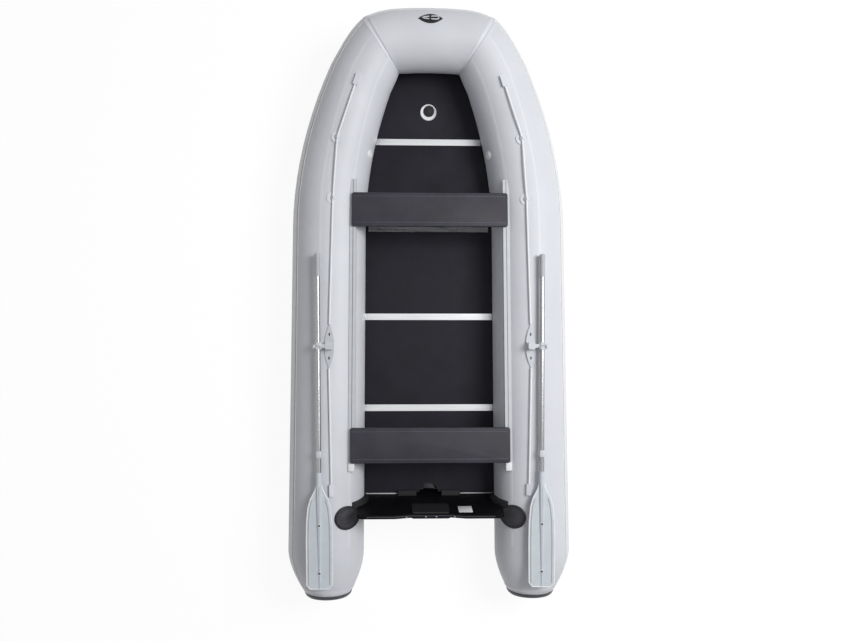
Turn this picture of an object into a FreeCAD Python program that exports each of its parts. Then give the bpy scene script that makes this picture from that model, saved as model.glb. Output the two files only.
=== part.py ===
"""Four metre soft-bottomed inflatable boat with a sectional floor, two sliding seats and two oars.

Frame: +Y runs to the bow, +X to starboard, +Z up. The origin is under the middle of the boat, on the
ground that the side tubes stand on. All lengths are millimetres.
"""
import FreeCAD, Part
import math
import os

import Sketcher
from FreeCAD import Matrix, Placement, Rotation, Vector

# Named sizes, each with what it measures

SIZES = [
    ("tube_radius", 240, "radius of a side tube along its straight run"),
    ("tube_offset", 673, "centreline to the middle of a side tube"),
    ("bend_start", 500, "where the side tubes begin to bend inboard"),
    ("bend_radius", 2450, "radius of that bend, seen from above"),
    ("bend_end", 1500, "where the bend ends and the last panel begins"),
    ("corner_heading_deg", 29.9, "heading of that last panel, inboard from the bow line"),
    ("sheer_start", 700, "where the tubes begin to rise"),
    ("sheer_height", 180, "rise of the tube centre at the bow"),
    ("bow_tube_y", 1734, "middle of the bow tube on the centreline"),
    ("bow_tube_radius", 203, "radius of the bow tube"),
    ("bow_set_back", 16, "how far the bow corners lie behind the bow tube's middle"),
    ("cone_start", -1655, "where the tail cones begin"),
    ("cone_length", 263, "length of a tail cone"),
    ("cone_shift", 12, "how far a cone's end lies inboard of the tube's middle"),
    ("cone_lift", 8, "how far a cone's end lies above the tube's middle"),
    ("cap_radius", 144, "radius of a cone's end and its cap"),
    ("cap_depth", 30, "how far a cap stands out behind its cone"),
    ("strake_height", 46, "height of the rub strake"),
    ("strake_depth", 12, "how far the rub strake stands out"),
    ("keel_low", 8, "outside of the bottom cloth on the keel line, above ground"),
    ("keel_rise_start", 600, "where the keel line begins to rise"),
    ("cloth_dip", 10, "how far the cloth's front end hangs below the bow tube"),
    ("skin_thickness", 5, "bottom cloth with its seam tapes"),
    ("skin_aft", -1330, "aft end of the bottom cloth"),
    ("bond_gap", 0.8, "gap left between curved faces that are bonded"),
    ("skin_fore_half", 100, "half width of the cloth at its front end"),
    ("seam_angle_deg", 35, "where the cloth joins a tube, from the tube's lowest line"),
    ("seam_bow_deg", 20, "the same at the bow corners"),
    ("keel_tube_half", 90, "half width of the inflatable keel"),
    ("keel_tube_aft", -1290, "aft end of the inflatable keel"),
    ("keel_tube_short", 150, "how far the keel ends behind the cloth's front end"),
    ("guard_half", 30, "half width of the keel guard"),
    ("guard_thickness", 3, "thickness of the keel guard"),
    ("guard_short", 60, "how far the guard ends behind the cloth's front end"),
    ("floor_top", 130, "top of the level floor boards"),
    ("board_thickness", 15, "thickness of the floor boards"),
    ("board_clearance", 4, "gap from a floor board's edge to the tube"),
    ("board_gap", 1, "gap from a floor board's end to the joiner's web"),
    ("board_aft", -1302, "aft end of the floor"),
    ("joint_1", 1134, "first floor joint from the bow"),
    ("joint_2", 513, "second floor joint"),
    ("joint_3", -106, "third floor joint"),
    ("joint_4", -732, "fourth floor joint"),
    ("nose_start", 1165, "where the bow board begins to slope up"),
    ("nose_end", 1654, "front edge of the bow board"),
    ("nose_rise", 95, "rise of the bow board's front edge"),
    ("nose_half", 150, "half width of the bow board's front edge"),
    ("nose_clearance", 30, "gap from the bow board's sides to the tubes"),
    ("valve_hole_y", 1340, "middle of the hole in the bow board"),
    ("valve_hole_radius", 57, "radius of that hole"),
    ("notch_radius", 66, "radius of the drain notch in the aft board"),
    ("joiner_width", 44, "width of a floor joiner"),
    ("joiner_flange", 2.5, "thickness of a joiner's flanges"),
    ("joiner_web", 3, "thickness of a joiner's web"),
    ("joiner_groove", 8, "width of the groove along a joiner"),
    ("joiner_groove_depth", 1, "depth of that groove"),
    ("joiner_end_1", 31, "gap from the first joiner's ends to the tubes"),
    ("joiner_end_2", 38, "the same at the second joiner"),
    ("joiner_end_3", 18, "the same at the third and fourth joiners"),
    ("rail_inner", 483.5, "centreline to a seat rail's inner side"),
    ("rail_width", 42, "width of a seat rail"),
    ("rail_top", 436, "top of the seat rails"),
    ("rail_depth", 60, "height of the rail's blank before it is fitted to the tube"),
    ("rail_aft", -1122, "aft end of the rails"),
    ("rail_fore", 780, "front end of the rails"),
    ("seat_overlap", 29, "how far a seat board reaches past a rail's inner side"),
    ("seat_width", 226, "width of a seat board"),
    ("seat_thickness", 16, "thickness of a seat board"),
    ("seat_bottom", 442, "underside of the seat boards"),
    ("seat_corner", 16, "corner radius of a seat board"),
    ("seat_edge", 4, "bevel along a seat board's edges"),
    ("front_seat_y", 573, "middle of the front seat"),
    ("rear_seat_y", -958, "middle of the rear seat"),
    ("slide_gap", 0.3, "gap between a seat's hook and its rail"),
    ("hook_width", 150, "length of a seat hook along the rail"),
    ("hook_lip", 5, "thickness of a hook's lip"),
    ("hook_drop", 34, "how far a hook's lip reaches below the seat"),
    ("hook_cover", 22, "how far a hook's plate reaches over the rail"),
    ("transom_foot_y", -1306, "inner face of the transom at its foot"),
    ("transom_foot_z", 62, "foot of the transom"),
    ("transom_height", 492, "height of the transom along its slope"),
    ("transom_side_drop", 14, "how far its lower edge lies under that foot at the tubes"),
    ("transom_keel_drop", 45, "how far its lower edge lies under that foot on the keel line"),
    ("transom_overlap", 29, "how far the transom's blank reaches past the tubes' inner side"),
    ("transom_thickness", 25, "thickness of the transom"),
    ("transom_rake_deg", 8.2, "slope of the transom towards the stern"),
    ("transom_corner", 45, "radius of the transom's top corners"),
    ("motor_step", 22, "how far the middle of the top edge is cut down"),
    ("motor_step_half", 125, "half width of that step"),
    ("motor_step_run", 98, "length of the slope at each side of it"),
    ("pad_inner_half", 118, "half width of the inner motor pad"),
    ("pad_inner_height", 170, "height of the inner motor pad"),
    ("pad_outer_half", 121, "half width of the outer motor pad"),
    ("pad_outer_height", 260, "height of the outer motor pad"),
    ("pad_thickness", 8, "thickness of the motor pads"),
    ("pad_drop", 6, "how far the pads end below the step"),
    ("pad_corner", 18, "corner radius of the motor pads"),
    ("chock_start", 86, "centreline to the near end of a floor chock"),
    ("chock_length", 122, "length of a floor chock along the transom"),
    ("chock_depth", 28, "how far a floor chock stands out from the transom"),
    ("chock_height", 30, "height of a floor chock above the floor"),
    ("chock_gap", 1, "gap from a chock to the floor board under it"),
    ("holder_width", 76, "width of a transom holder along the tube"),
    ("holder_depth", 30, "height of a transom holder above the tube"),
    ("holder_high_deg", 26, "where a holder begins, from the tube's crown round its inner side"),
    ("holder_low_deg", 118, "where a holder ends, from the tube's crown round its inner side"),
    ("holder_pad_radius", 74, "radius of a holder's round pad"),
    ("holder_pad_thickness", 9, "thickness of that pad"),
    ("holder_pad_x", 531, "middle of the pad from the centreline"),
    ("holder_pad_y", -1412, "middle of the pad"),
    ("rope_radius", 6, "radius of the lifeline"),
    ("rope_lift", 10.5, "rope centre above the tube"),
    ("rope_bend", 60, "radius in which the lifeline bends at a guide"),
    ("patch_radius", 40, "radius of a guide's round patch"),
    ("patch_thickness", 2.5, "thickness of a patch"),
    ("loop_half", 11, "half width of the loop through which the rope runs"),
    ("loop_length", 20, "length of that loop along the rope"),
    ("loop_cover", 3, "thickness of the loop above the rope"),
    ("rope_clearance", 1.8, "gap round the rope in a loop"),
    ("tab_length", 72, "length of an end tab"),
    ("tab_width", 30, "width of an end tab"),
    ("tab_cover", 2, "thickness of an end tab above the rope"),
    ("fore_tab_x", 490, "rope's front end"),
    ("fore_tab_y", 1372, "rope's front end"),
    ("guide_1_x", 606, "first rope guide"),
    ("guide_1_y", 1041, "first rope guide"),
    ("guide_2_x", 632.5, "second rope guide"),
    ("guide_2_y", 640, "second rope guide"),
    ("aft_tab_x", 625, "rope's aft end"),
    ("aft_tab_y", -1198, "rope's aft end"),
    ("rowlock_x", 647, "centreline to a rowlock's pivot"),
    ("rowlock_y", -326, "a rowlock's pivot"),
    ("base_length", 282, "length of a rowlock base, which tapers to both ends"),
    ("base_width", 62, "width of a rowlock base at its middle"),
    ("base_top", 486, "top of a rowlock base's plate"),
    ("base_depth", 30, "height of the base's blank before it is fitted to the tube"),
    ("boss_half", 26, "half width of the base's square boss"),
    ("boss_top", 495.5, "top of the base's boss"),
    ("pin_radius", 6, "radius of the pivot pin"),
    ("pin_depth", 14, "how far the pivot pin reaches into the boss"),
    ("pin_clearance", 0.06, "gap round the pivot pin"),
    ("swivel_gap", 0.3, "gap between the boss and the swivel"),
    ("hub_half", 22, "half width of the swivel's square hub"),
    ("hub_bevel", 7, "bevel of the hub's corners"),
    ("swivel_height", 38, "height of the swivel's hub"),
    ("arm_width", 24, "width and height of the arm to the oar's collar"),
    ("oar_offset", 67, "pivot to the oar's axis"),
    ("oar_height", 520, "height of the oar's axis"),
    ("oar_toe_deg", 1.03, "how far the stowed oar points inboard aft"),
    ("clamp_half", 22, "half width of the collar that holds the oar"),
    ("clamp_bevel", 12, "bevel of that collar's long edges"),
    ("clamp_length", 44, "length of that collar"),
    ("shaft_radius", 15, "radius of an oar's shaft"),
    ("shaft_wall", 1.5, "wall of the shaft's tube"),
    ("shaft_fore", 470, "pivot to the shaft's front end"),
    ("shaft_aft", 862, "pivot to the shaft's aft end"),
    ("grip_radius", 17.5, "radius of a grip"),
    ("grip_start", 411, "pivot to the grip's near end"),
    ("grip_length", 182, "length of a grip"),
    ("coupling_half", 18, "half width of the shaft's coupling"),
    ("coupling_bevel", 9, "bevel of the coupling's long edges"),
    ("coupling_middle", 680, "pivot to the middle of the coupling"),
    ("coupling_length", 46, "length of the coupling"),
    ("knob_radius", 6.5, "radius of the coupling's knobs"),
    ("knob_reach", 25, "shaft's axis to a knob's end"),
    ("sleeve_overlap", 72, "how far the shaft reaches into the blade's sleeve"),
    ("sleeve_wall", 5, "wall of the blade's sleeve"),
    ("sleeve_end", 8, "how far the sleeve reaches past the shaft"),
    ("blade_length", 628, "length of the blade from its shoulders"),
    ("blade_half", 83.5, "half width of the blade"),
    ("blade_thickness", 5, "thickness of the blade"),
    ("blade_ridge", 5.5, "radius of the ridge at the blade's tip"),
    ("blade_rib", 3, "height of the ribs near the blade's edges"),
    ("blade_rib_width", 7, "width of those ribs"),
    ("blade_hole", 4, "radius of the blade's two holes"),
    ("handle_length", 158, "length of the bow handle's foot, which tapers to both ends"),
    ("handle_width", 70, "width of that foot at its middle"),
    ("handle_foot", 6, "height of the foot above the tube"),
    ("handle_angle_deg", 74, "angle of the bow handle round the tube, from its widest line"),
    ("handle_reach", 30, "how far the bow handle stands out from the tube"),
    ("handle_grip", 5.5, "radius of the handle's grip"),
    ("handle_post", 12, "length of each post that carries the grip"),
    ("tube_valve_x", 402, "the tube valve on the starboard tube"),
    ("tube_valve_y", 979, "the tube valve on the starboard tube"),
    ("valve_radius", 32, "radius of a valve's flange"),
    ("valve_body_radius", 20, "radius of a valve's body"),
    ("valve_depth", 8, "how far a valve stands out"),
    ("keel_valve_radius", 45, "radius of the keel valve's flange"),
    ("keel_valve_height", 14, "height of the keel valve"),
    ("keel_valve_shift", 9, "how far the valve lies ahead of the middle of its hole"),
    ("drain_radius", 14, "radius of the drain bore"),
    ("plug_reach", 8, "how far the drain plug stands out of the transom"),
    ("drain_height", 105, "height of the drain bore along the transom"),
    ("drain_x", -205, "drain bore from the centreline"),
    ("eye_x", 300, "towing eyes from the centreline"),
    ("eye_height", 150, "height of the towing eyes along the transom"),
    ("eye_plate", 42, "width of a towing eye's plate"),
    ("eye_plate_thickness", 4, "thickness of a towing eye's plate"),
    ("eye_lug", 8, "thickness of a towing eye's lug"),
    ("eye_reach", 26, "how far the eye's bore stands out from its plate"),
    ("eye_radius", 7, "radius of a towing eye's bore"),
]

# Where the round sections of each run lie, as shares of that run

BEND_SHARES = (0.0, 0.2, 0.4, 0.6, 0.8, 1.0)
CONE_SHARES = ((0.0, 0.0), (0.55, 0.36), (1.0, 1.0))
KEEL_SECTION_SHARES = ((0.6, 0.0), (1.0, 0.45), (0.9, 0.8), (0.55, 1.0))
BLADE_SHARES = ((0.0, 0.24), (0.05, 0.34), (0.14, 0.7), (0.22, 0.87), (0.36, 0.97), (0.55, 1.0), (0.96, 0.98),
                (1.0, 0.74))
RIB_INSET_SHARE = 0.16
HOLE_SHARES = (0.39, 0.85)
HANDLE_GRIP_SHARE = 0.66
PAD_STEP_DEG = 20

doc = FreeCAD.newDocument("InflatableBoat")
sheet = doc.addObject("Spreadsheet::Sheet", "Sizes")
for row, (alias, value, meaning) in enumerate(SIZES, start=1):
    sheet.set(f"A{row}", meaning)
    sheet.set(f"B{row}", str(value))
    sheet.setAlias(f"B{row}", alias)
doc.recompute()

X_AXIS = Vector(1, 0, 0)
Y_AXIS = Vector(0, 1, 0)
Z_AXIS = Vector(0, 0, 1)


def size(alias):
    """The value of a named size."""
    return float(getattr(sheet, alias))


# Lengths that follow from the named ones

TUBE_RADIUS = size("tube_radius")
FLOOR_TOP = size("floor_top")
FLOOR_BOTTOM = FLOOR_TOP - size("board_thickness")
SKIN_FORE = size("bow_tube_y")
SHAFT_RADIUS = size("shaft_radius")


# Sizes as sums of named ones, for expressions and sketches

def total(terms):
    """The length that a dictionary of named sizes and their factors adds up to."""
    return sum(factor * size(alias) for alias, factor in terms.items())


def formula(terms):
    """The same sum as an expression that follows the sheet."""
    return " + ".join(f"{factor} * Sizes.{alias}" for alias, factor in terms.items()) or "0"


def bind(piece, **properties):
    """Ties a piece's properties to the sheet."""
    for name, terms in properties.items():
        piece.setExpression(name, formula(terms))
    return piece


def seat_at(piece, x=None, y=None, z=None):
    """Ties a piece's place to the sheet."""
    for letter, terms in (("x", x), ("y", y), ("z", z)):
        if terms:
            piece.setExpression(f".Placement.Base.{letter}", formula(terms))
    return piece


# Document objects

def primitive(kind, name, **properties):
    return bind(doc.addObject(f"Part::{kind}", name), **properties)


def combined(kind, name, first, second):
    """A boolean of two pieces: Cut, Fuse or Common."""
    piece = doc.addObject(f"Part::{kind}", name)
    piece.Base = first
    piece.Tool = second
    return piece


def joined(name, pieces):
    piece = doc.addObject("Part::MultiFuse", name)
    piece.Shapes = pieces
    return piece


def grouped(name, pieces):
    """Separate solids of one kind under one name."""
    piece = doc.addObject("Part::Compound", name)
    piece.Links = pieces
    return piece


def mirrored(name, source):
    """The same piece on the other side of the centreline."""
    piece = doc.addObject("Part::Mirroring", name)
    piece.Source = source
    piece.Normal = X_AXIS
    return piece


def shaped(name, shape):
    piece = doc.addObject("Part::Feature", name)
    piece.Shape = shape
    return piece


def sketch_on(body, plane, name, vertices):
    """A closed outline whose corners follow the sheet."""
    sketch = body.newObject("Sketcher::SketchObject", name)
    origin_plane = next(item for item in body.Origin.OriginFeatures if item.Role == plane)
    sketch.AttachmentSupport = [(origin_plane, "")]
    sketch.MapMode = "FlatFace"
    corners = [Vector(total(u), total(v), 0) for u, v in vertices]
    count = len(corners)
    for index in range(count):
        sketch.addGeometry(Part.LineSegment(corners[index], corners[(index + 1) % count]), False)
    for index in range(count):
        sketch.addConstraint(Sketcher.Constraint("Coincident", index, 2, (index + 1) % count, 1))
    for index, (u, v) in enumerate(vertices):
        across = sketch.addConstraint(Sketcher.Constraint("DistanceX", index, 1, total(u)))
        sketch.setExpression(f"Constraints[{across}]", formula(u))
        along = sketch.addConstraint(Sketcher.Constraint("DistanceY", index, 1, total(v)))
        sketch.setExpression(f"Constraints[{along}]", formula(v))
    return sketch


def new_body(name):
    return doc.addObject("PartDesign::Body", name)


def padded(body, sketch, length):
    """A sketch drawn out by a sum of named sizes, or by a length measured between the tubes."""
    pad = body.newObject("PartDesign::Pad", body.Name + "_pad")
    pad.Profile = sketch
    if isinstance(length, dict):
        bind(pad, Length=length)
    else:
        pad.Length = length
    return pad


def turned(body, sketch, axis_role):
    """A solid of revolution about one of the body's own axes."""
    axis = next(item for item in body.Origin.OriginFeatures if item.Role == axis_role)
    revolution = body.newObject("PartDesign::Revolution", body.Name + "_turn")
    revolution.Profile = sketch
    revolution.ReferenceAxis = (axis, [""])
    return revolution


# The tubes' own geometry: straight panels that meet in mitred seams

def tube_centre(y):
    """Middle of the starboard side tube at y, its radius, and its heading inboard in radians."""
    past = max(0.0, min(y, size("bend_end")) - size("bend_start"))
    heading = math.asin(past / size("bend_radius"))
    x = size("tube_offset") - size("bend_radius") * (1 - math.cos(heading))
    if y > size("bend_end"):
        heading = math.radians(size("corner_heading_deg"))
        x -= (y - size("bend_end")) * math.tan(heading)
    bow_share = max(0.0, y - size("bend_start")) / (size("bow_tube_y") - size("bend_start"))
    radius = TUBE_RADIUS - (TUBE_RADIUS - size("bow_tube_radius")) * bow_share ** 2
    rise_share = max(0.0, y - size("sheer_start")) / (size("bow_tube_y") - size("sheer_start"))
    z = TUBE_RADIUS + size("sheer_height") * rise_share ** 2
    return Vector(x, y, z), radius, heading


def tail_sections():
    """Round sections of the starboard tail cone, from its end to where the tube is full."""
    middle, radius, _ = tube_centre(size("cone_start"))
    sections = []
    for along, narrowing in reversed(CONE_SHARES):
        shift = Vector(-size("cone_shift") * along, -size("cone_length") * along, size("cone_lift") * along)
        local = radius - (radius - size("cap_radius")) * narrowing
        sections.append((middle + shift, X_AXIS * local, Z_AXIS * local))
    return sections


def seam_sections():
    """Oval seams from the bend's start to the bow's middle: middle, reach outward, reach upward."""
    run = size("bend_end") - size("bend_start")
    places = [size("bend_start") + share * run for share in BEND_SHARES]
    places.append(size("bow_tube_y") - size("bow_set_back"))
    middles = [tube_centre(y)[0] for y in places]
    radii = [tube_centre(y)[1] for y in places]
    middles.append(Vector(0, size("bow_tube_y"), TUBE_RADIUS + size("sheer_height")))
    radii.append(size("bow_tube_radius"))
    headings = [(after - before).normalize() for before, after in zip(middles, middles[1:])]
    beyond = Vector(headings[-1].x, -headings[-1].y, -headings[-1].z)
    outward = X_AXIS
    upward = Z_AXIS
    heading = Y_AXIS
    sections = []
    for middle, radius, before, after in zip(middles, radii, [Y_AXIS] + headings,
                                             [Y_AXIS] + headings[1:] + [beyond]):
        turn = Rotation(heading, before)
        outward = turn.multVec(outward)
        upward = turn.multVec(upward)
        seam_normal = (before + after).normalize()
        lean = before.dot(seam_normal)
        sections.append((middle, (outward - before * (outward.dot(seam_normal) / lean)) * radius,
                         (upward - before * (upward.dot(seam_normal) / lean)) * radius))
        turn = Rotation(before, after)
        outward = turn.multVec(outward)
        upward = turn.multVec(upward)
        heading = after
    return sections


def across_ship(section):
    """The same seam on the port side."""
    return tuple(Vector(-arrow.x, arrow.y, arrow.z) for arrow in section)


TAIL_SECTIONS = tail_sections()
SEAM_SECTIONS = seam_sections()
BOW_SECTIONS = SEAM_SECTIONS[-2:] + [across_ship(SEAM_SECTIONS[-2])]


def ring(section):
    """A section's closed oval, starting on its outer side."""
    middle, outward, upward = section
    radius = upward.Length
    across = outward / radius
    lift = upward / radius
    square = across.cross(lift)
    frame = Matrix(
        across.x, lift.x, square.x, middle.x,
        across.y, lift.y, square.y, middle.y,
        across.z, lift.z, square.z, middle.z,
        0, 0, 0, 1,
    )
    circle = Part.Circle(Vector(), Z_AXIS, radius).toShape()
    return Part.Wire(circle.transformGeometry(frame).Edges)


def panels(rings):
    """A solid whose straight panels join one outline to the next."""
    return Part.makeLoft(rings, True, True)


straight_tube = Part.makeCylinder(TUBE_RADIUS, size("bend_start") - size("cone_start"),
                                  tube_centre(size("cone_start"))[0], Y_AXIS)
tail_tube = panels([ring(section) for section in TAIL_SECTIONS])
bent_tube = panels([ring(section) for section in SEAM_SECTIONS[:-1]])
tube_starboard = shaped("tube_starboard", straight_tube.fuse([tail_tube, bent_tube]))
tube_port = mirrored("tube_port", tube_starboard)
tube_bow = shaped("tube_bow", panels([ring(section) for section in BOW_SECTIONS]))
doc.recompute()


def tube_surface(x, y):
    """Height of the top of the starboard tube at a place on it."""
    plumb_line = Part.LineSegment(Vector(x, y, TUBE_RADIUS), Vector(x, y, TUBE_RADIUS * 4)).toShape()
    return plumb_line.common(tube_starboard.Shape).BoundBox.ZMax


def inside_half(y, z):
    """Half width between the side tubes at a height."""
    level_line = Part.LineSegment(Vector(0, y, z), Vector(size("tube_offset"), y, z)).toShape()
    return level_line.common(tube_starboard.Shape).BoundBox.XMin


def normal_at(x, y):
    """Which way the top of the starboard tube faces at a place on it."""
    middle, radius, heading = tube_centre(y)
    across = (x - middle.x) * math.cos(heading)
    outward = Vector(math.cos(heading), math.sin(heading), 0)
    return (outward * across + Z_AXIS * math.sqrt(radius ** 2 - across ** 2)).normalize()


# End caps of the tail cones

cap_body = new_body("end_cap_blank")
cap_profile = sketch_on(cap_body, "XY_Plane", "cap_profile", [
    ({}, {}),
    ({"cap_radius": 1}, {}),
    ({"cap_radius": 1}, {"cap_depth": -0.6}),
    ({"cap_radius": 0.84}, {"cap_depth": -1}),
    ({}, {"cap_depth": -1}),
])
turned(cap_body, cap_profile, "Y_Axis")
seat_at(cap_body, x={"tube_offset": 1, "cone_shift": -1}, y={"cone_start": 1, "cone_length": -1},
        z={"tube_radius": 1, "cone_lift": 1})
end_caps = grouped("end_caps", [cap_body, mirrored("end_cap_port", cap_body)])


# Rub strake round the tubes' widest line

def strake_ring(section):
    """The strake's outline: flat on the tube's side, with both outer edges cut back."""
    middle, outward, upward = section
    rise = Z_AXIS * size("strake_height") / 2
    level = Vector(outward.x, outward.y, 0).normalize()
    widest = math.atan2(upward.dot(level), outward.dot(level))
    out = level * (outward.Length / upward.Length)
    seat = middle + outward * math.cos(widest) + upward * math.sin(widest) + out * size("bond_gap")
    face = seat + out * size("strake_depth")
    corners = [seat - rise, seat + rise, seat + rise + out * size("strake_depth") / 2, face + rise / 2,
               face - rise / 2, seat - rise + out * size("strake_depth") / 2]
    return Part.makePolygon(corners + corners[:1])


strake_starboard = shaped("rub_strake_starboard", panels([
    strake_ring(section) for section in TAIL_SECTIONS + SEAM_SECTIONS[:-1]]))
strake_port = mirrored("rub_strake_port", strake_starboard)
strake_bow = shaped("rub_strake_bow", panels([strake_ring(s) for s in BOW_SECTIONS]))


# Bottom cloth, inflatable keel and keel guard

FRONT_LOW = (TUBE_RADIUS + size("sheer_height") - size("bow_tube_radius") - size("cloth_dip")
             - size("skin_thickness"))


def cloth_seam(section, angle_deg):
    """Place just outside a section of the starboard tube, at an angle from its lowest line inward."""
    middle, outward, upward = section
    angle = math.radians(angle_deg)
    reach = 1 + size("bond_gap") / upward.Length
    return middle - outward * (math.sin(angle) * reach) - upward * (math.cos(angle) * reach)


def cloth_seams():
    """The starboard edge of the cloth's inner face, from its aft end to its front end."""
    aft = (tube_centre(size("skin_aft"))[0], X_AXIS * TUBE_RADIUS, Z_AXIS * TUBE_RADIUS)
    easing = (size("seam_angle_deg") - size("seam_bow_deg")) / (len(SEAM_SECTIONS) - 2)
    seams = [cloth_seam(aft, size("seam_angle_deg"))]
    for number, section in enumerate(SEAM_SECTIONS[:-1]):
        seams.append(cloth_seam(section, size("seam_angle_deg") - easing * number))
    seams.append(Vector(size("skin_fore_half"), SKIN_FORE, FRONT_LOW + size("skin_thickness")))
    return seams


CLOTH_SEAMS = cloth_seams()
HULL_PLACES = [seam.y for seam in CLOTH_SEAMS]


def keel_curve(y):
    """Height of the cloth's outside on the keel line where two of its panels meet."""
    share = max(0.0, y - size("keel_rise_start")) / (SKIN_FORE - size("keel_rise_start"))
    return size("keel_low") + (FRONT_LOW - size("keel_low")) * share ** 3


def keel_line(y):
    """Height of the cloth's outside on the keel line, straight between its panels' ends."""
    aft, fore = next(pair for pair in zip(HULL_PLACES, HULL_PLACES[1:]) if y <= pair[1])
    share = (y - aft) / (fore - aft)
    return keel_curve(aft) + (keel_curve(fore) - keel_curve(aft)) * share


def cloth_slope(y):
    """How steeply the cloth rises from the keel line to its edge."""
    aft, fore = next(pair for pair in zip(CLOTH_SEAMS, CLOTH_SEAMS[1:]) if y <= pair[1].y)
    edge = aft + (fore - aft) * ((y - aft.y) / (fore.y - aft.y))
    return (edge.z - size("skin_thickness") - keel_line(y)) / edge.x


def cloth_ring(y, half, slope, low, thickness):
    """A V-shaped outline whose lowest point lies at a height."""
    high = low + thickness
    rise = slope * half
    corners = [(-half, low + rise), (0, low), (half, low + rise), (half, high + rise), (0, high), (-half, high + rise)]
    points = [Vector(x, y, z) for x, z in corners]
    return Part.makePolygon(points + points[:1])


def places_between(aft, fore):
    """An aft end, the cloth panels' ends that lie between, and a fore end."""
    return [aft] + [y for y in HULL_PLACES if aft < y < fore] + [fore]


tubes = [tube_starboard.Shape, tube_port.Shape, tube_bow.Shape]
cloth = panels([cloth_ring(seam.y, seam.x, cloth_slope(seam.y), keel_line(seam.y), size("skin_thickness"))
                for seam in CLOTH_SEAMS])
bottom_skin = shaped("bottom_skin", cloth)


def floor_line(y):
    """Height of the floor's top, which slopes up at the bow."""
    share = max(0.0, y - size("nose_start")) / (size("nose_end") - size("nose_start"))
    return FLOOR_TOP + size("nose_rise") * share


def keel_ring(y):
    """The keel's outline: its underside lies on the cloth and its top under the floor joiners."""
    slope = cloth_slope(y)
    half = size("keel_tube_half")
    low = keel_line(y) + size("skin_thickness") + size("bond_gap")
    high = floor_line(y) - size("board_thickness") - size("joiner_flange") - size("bond_gap")
    corners = [(0, low)]
    for across, up in KEEL_SECTION_SHARES:
        corners.append((half * across, low + half * across * slope + (high - low - half * across * slope) * up))
    corners += [(-x, z) for x, z in reversed(corners[1:])]
    points = [Vector(x, y, z) for x, z in corners]
    return Part.makePolygon(points + points[:1])


keel_places = places_between(size("keel_tube_aft"), size("nose_start"))
keel_places += places_between(size("nose_start"), SKIN_FORE - size("keel_tube_short"))[1:]
keel_tube = shaped("keel_tube", panels([keel_ring(y) for y in keel_places]))

guard_rings = []
for y in places_between(size("skin_aft"), SKIN_FORE - size("guard_short")):
    low = keel_line(y) - size("guard_thickness") - size("bond_gap")
    guard_rings.append(cloth_ring(y, size("guard_half"), cloth_slope(y), low, size("guard_thickness")))
keel_guard = shaped("keel_guard", panels(guard_rings))


# Floor boards and their joiners

def board_blank(fore, aft):
    """A level floor board between two joints, whose sides follow the tubes."""
    fore_half = min(inside_half(fore, FLOOR_TOP), inside_half(fore, FLOOR_BOTTOM)) - size("board_clearance")
    aft_half = min(inside_half(aft, FLOOR_TOP), inside_half(aft, FLOOR_BOTTOM)) - size("board_clearance")
    corners = [Vector(-aft_half, aft, FLOOR_BOTTOM), Vector(aft_half, aft, FLOOR_BOTTOM),
               Vector(fore_half, fore, FLOOR_BOTTOM), Vector(-fore_half, fore, FLOOR_BOTTOM)]
    face = Part.Face(Part.makePolygon(corners + corners[:1]))
    return face.extrude(Z_AXIS * size("board_thickness"))


web_room = size("joiner_web") / 2 + size("board_gap")
middle_joints = [size("joint_1"), size("joint_2"), size("joint_3"), size("joint_4")]
middle_boards = []
for number, (fore, aft) in enumerate(zip(middle_joints, middle_joints[1:]), start=2):
    middle_boards.append(shaped(f"board_{number}", board_blank(fore - web_room, aft + web_room)))
floor_boards_mid = grouped("floor_boards_mid", middle_boards)

aft_blank = shaped("aft_blank", board_blank(size("joint_4") - web_room, size("board_aft")))
notch = primitive("Cylinder", "drain_notch", Radius={"notch_radius": 1}, Height={"board_thickness": 1})
seat_at(notch, y={"board_aft": 1}, z={"floor_top": 1, "board_thickness": -1})
floor_board_aft = combined("Cut", "floor_board_aft", aft_blank, notch)

nose_aft = size("joint_1") + web_room
nose_outline = [(nose_aft, inside_half(nose_aft, FLOOR_TOP) - size("board_clearance"))]
for share in (0.16, 0.36, 0.56, 0.76):
    y = size("nose_start") + share * (size("nose_end") - size("nose_start"))
    nose_outline.append((y, inside_half(y, floor_line(y)) - size("nose_clearance")))
nose_outline.append((size("nose_end"), size("nose_half")))
plan_points = [Vector(half, y, 0) for y, half in nose_outline]
plan_points += [Vector(-half, y, 0) for y, half in reversed(nose_outline)]
nose_plan = Part.Face(Part.makePolygon(plan_points + plan_points[:1])).extrude(Z_AXIS * size("tube_radius") * 2)
side_points = [
    Vector(0, nose_aft, FLOOR_BOTTOM), Vector(0, size("nose_start"), FLOOR_BOTTOM),
    Vector(0, size("nose_end"), FLOOR_BOTTOM + size("nose_rise")),
    Vector(0, size("nose_end"), FLOOR_TOP + size("nose_rise")),
    Vector(0, size("nose_start"), FLOOR_TOP), Vector(0, nose_aft, FLOOR_TOP),
]
side_face = Part.Face(Part.makePolygon(side_points + side_points[:1]))
side_face.translate(X_AXIS * -size("tube_offset"))
nose_side = side_face.extrude(X_AXIS * size("tube_offset") * 2)
nose_blank = shaped("nose_blank", nose_plan.common(nose_side))
valve_hole = primitive("Cylinder", "valve_hole", Radius={"valve_hole_radius": 1}, Height={"tube_radius": 1})
seat_at(valve_hole, y={"valve_hole_y": 1})
floor_board_bow = combined("Cut", "floor_board_bow", nose_blank, valve_hole)

HALF_JOINER = {"joiner_width": 0.5}
HALF_WEB = {"joiner_web": 0.5}
HALF_GROOVE = {"joiner_groove": 0.5}


def minus(terms):
    return {alias: -factor for alias, factor in terms.items()}


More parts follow.
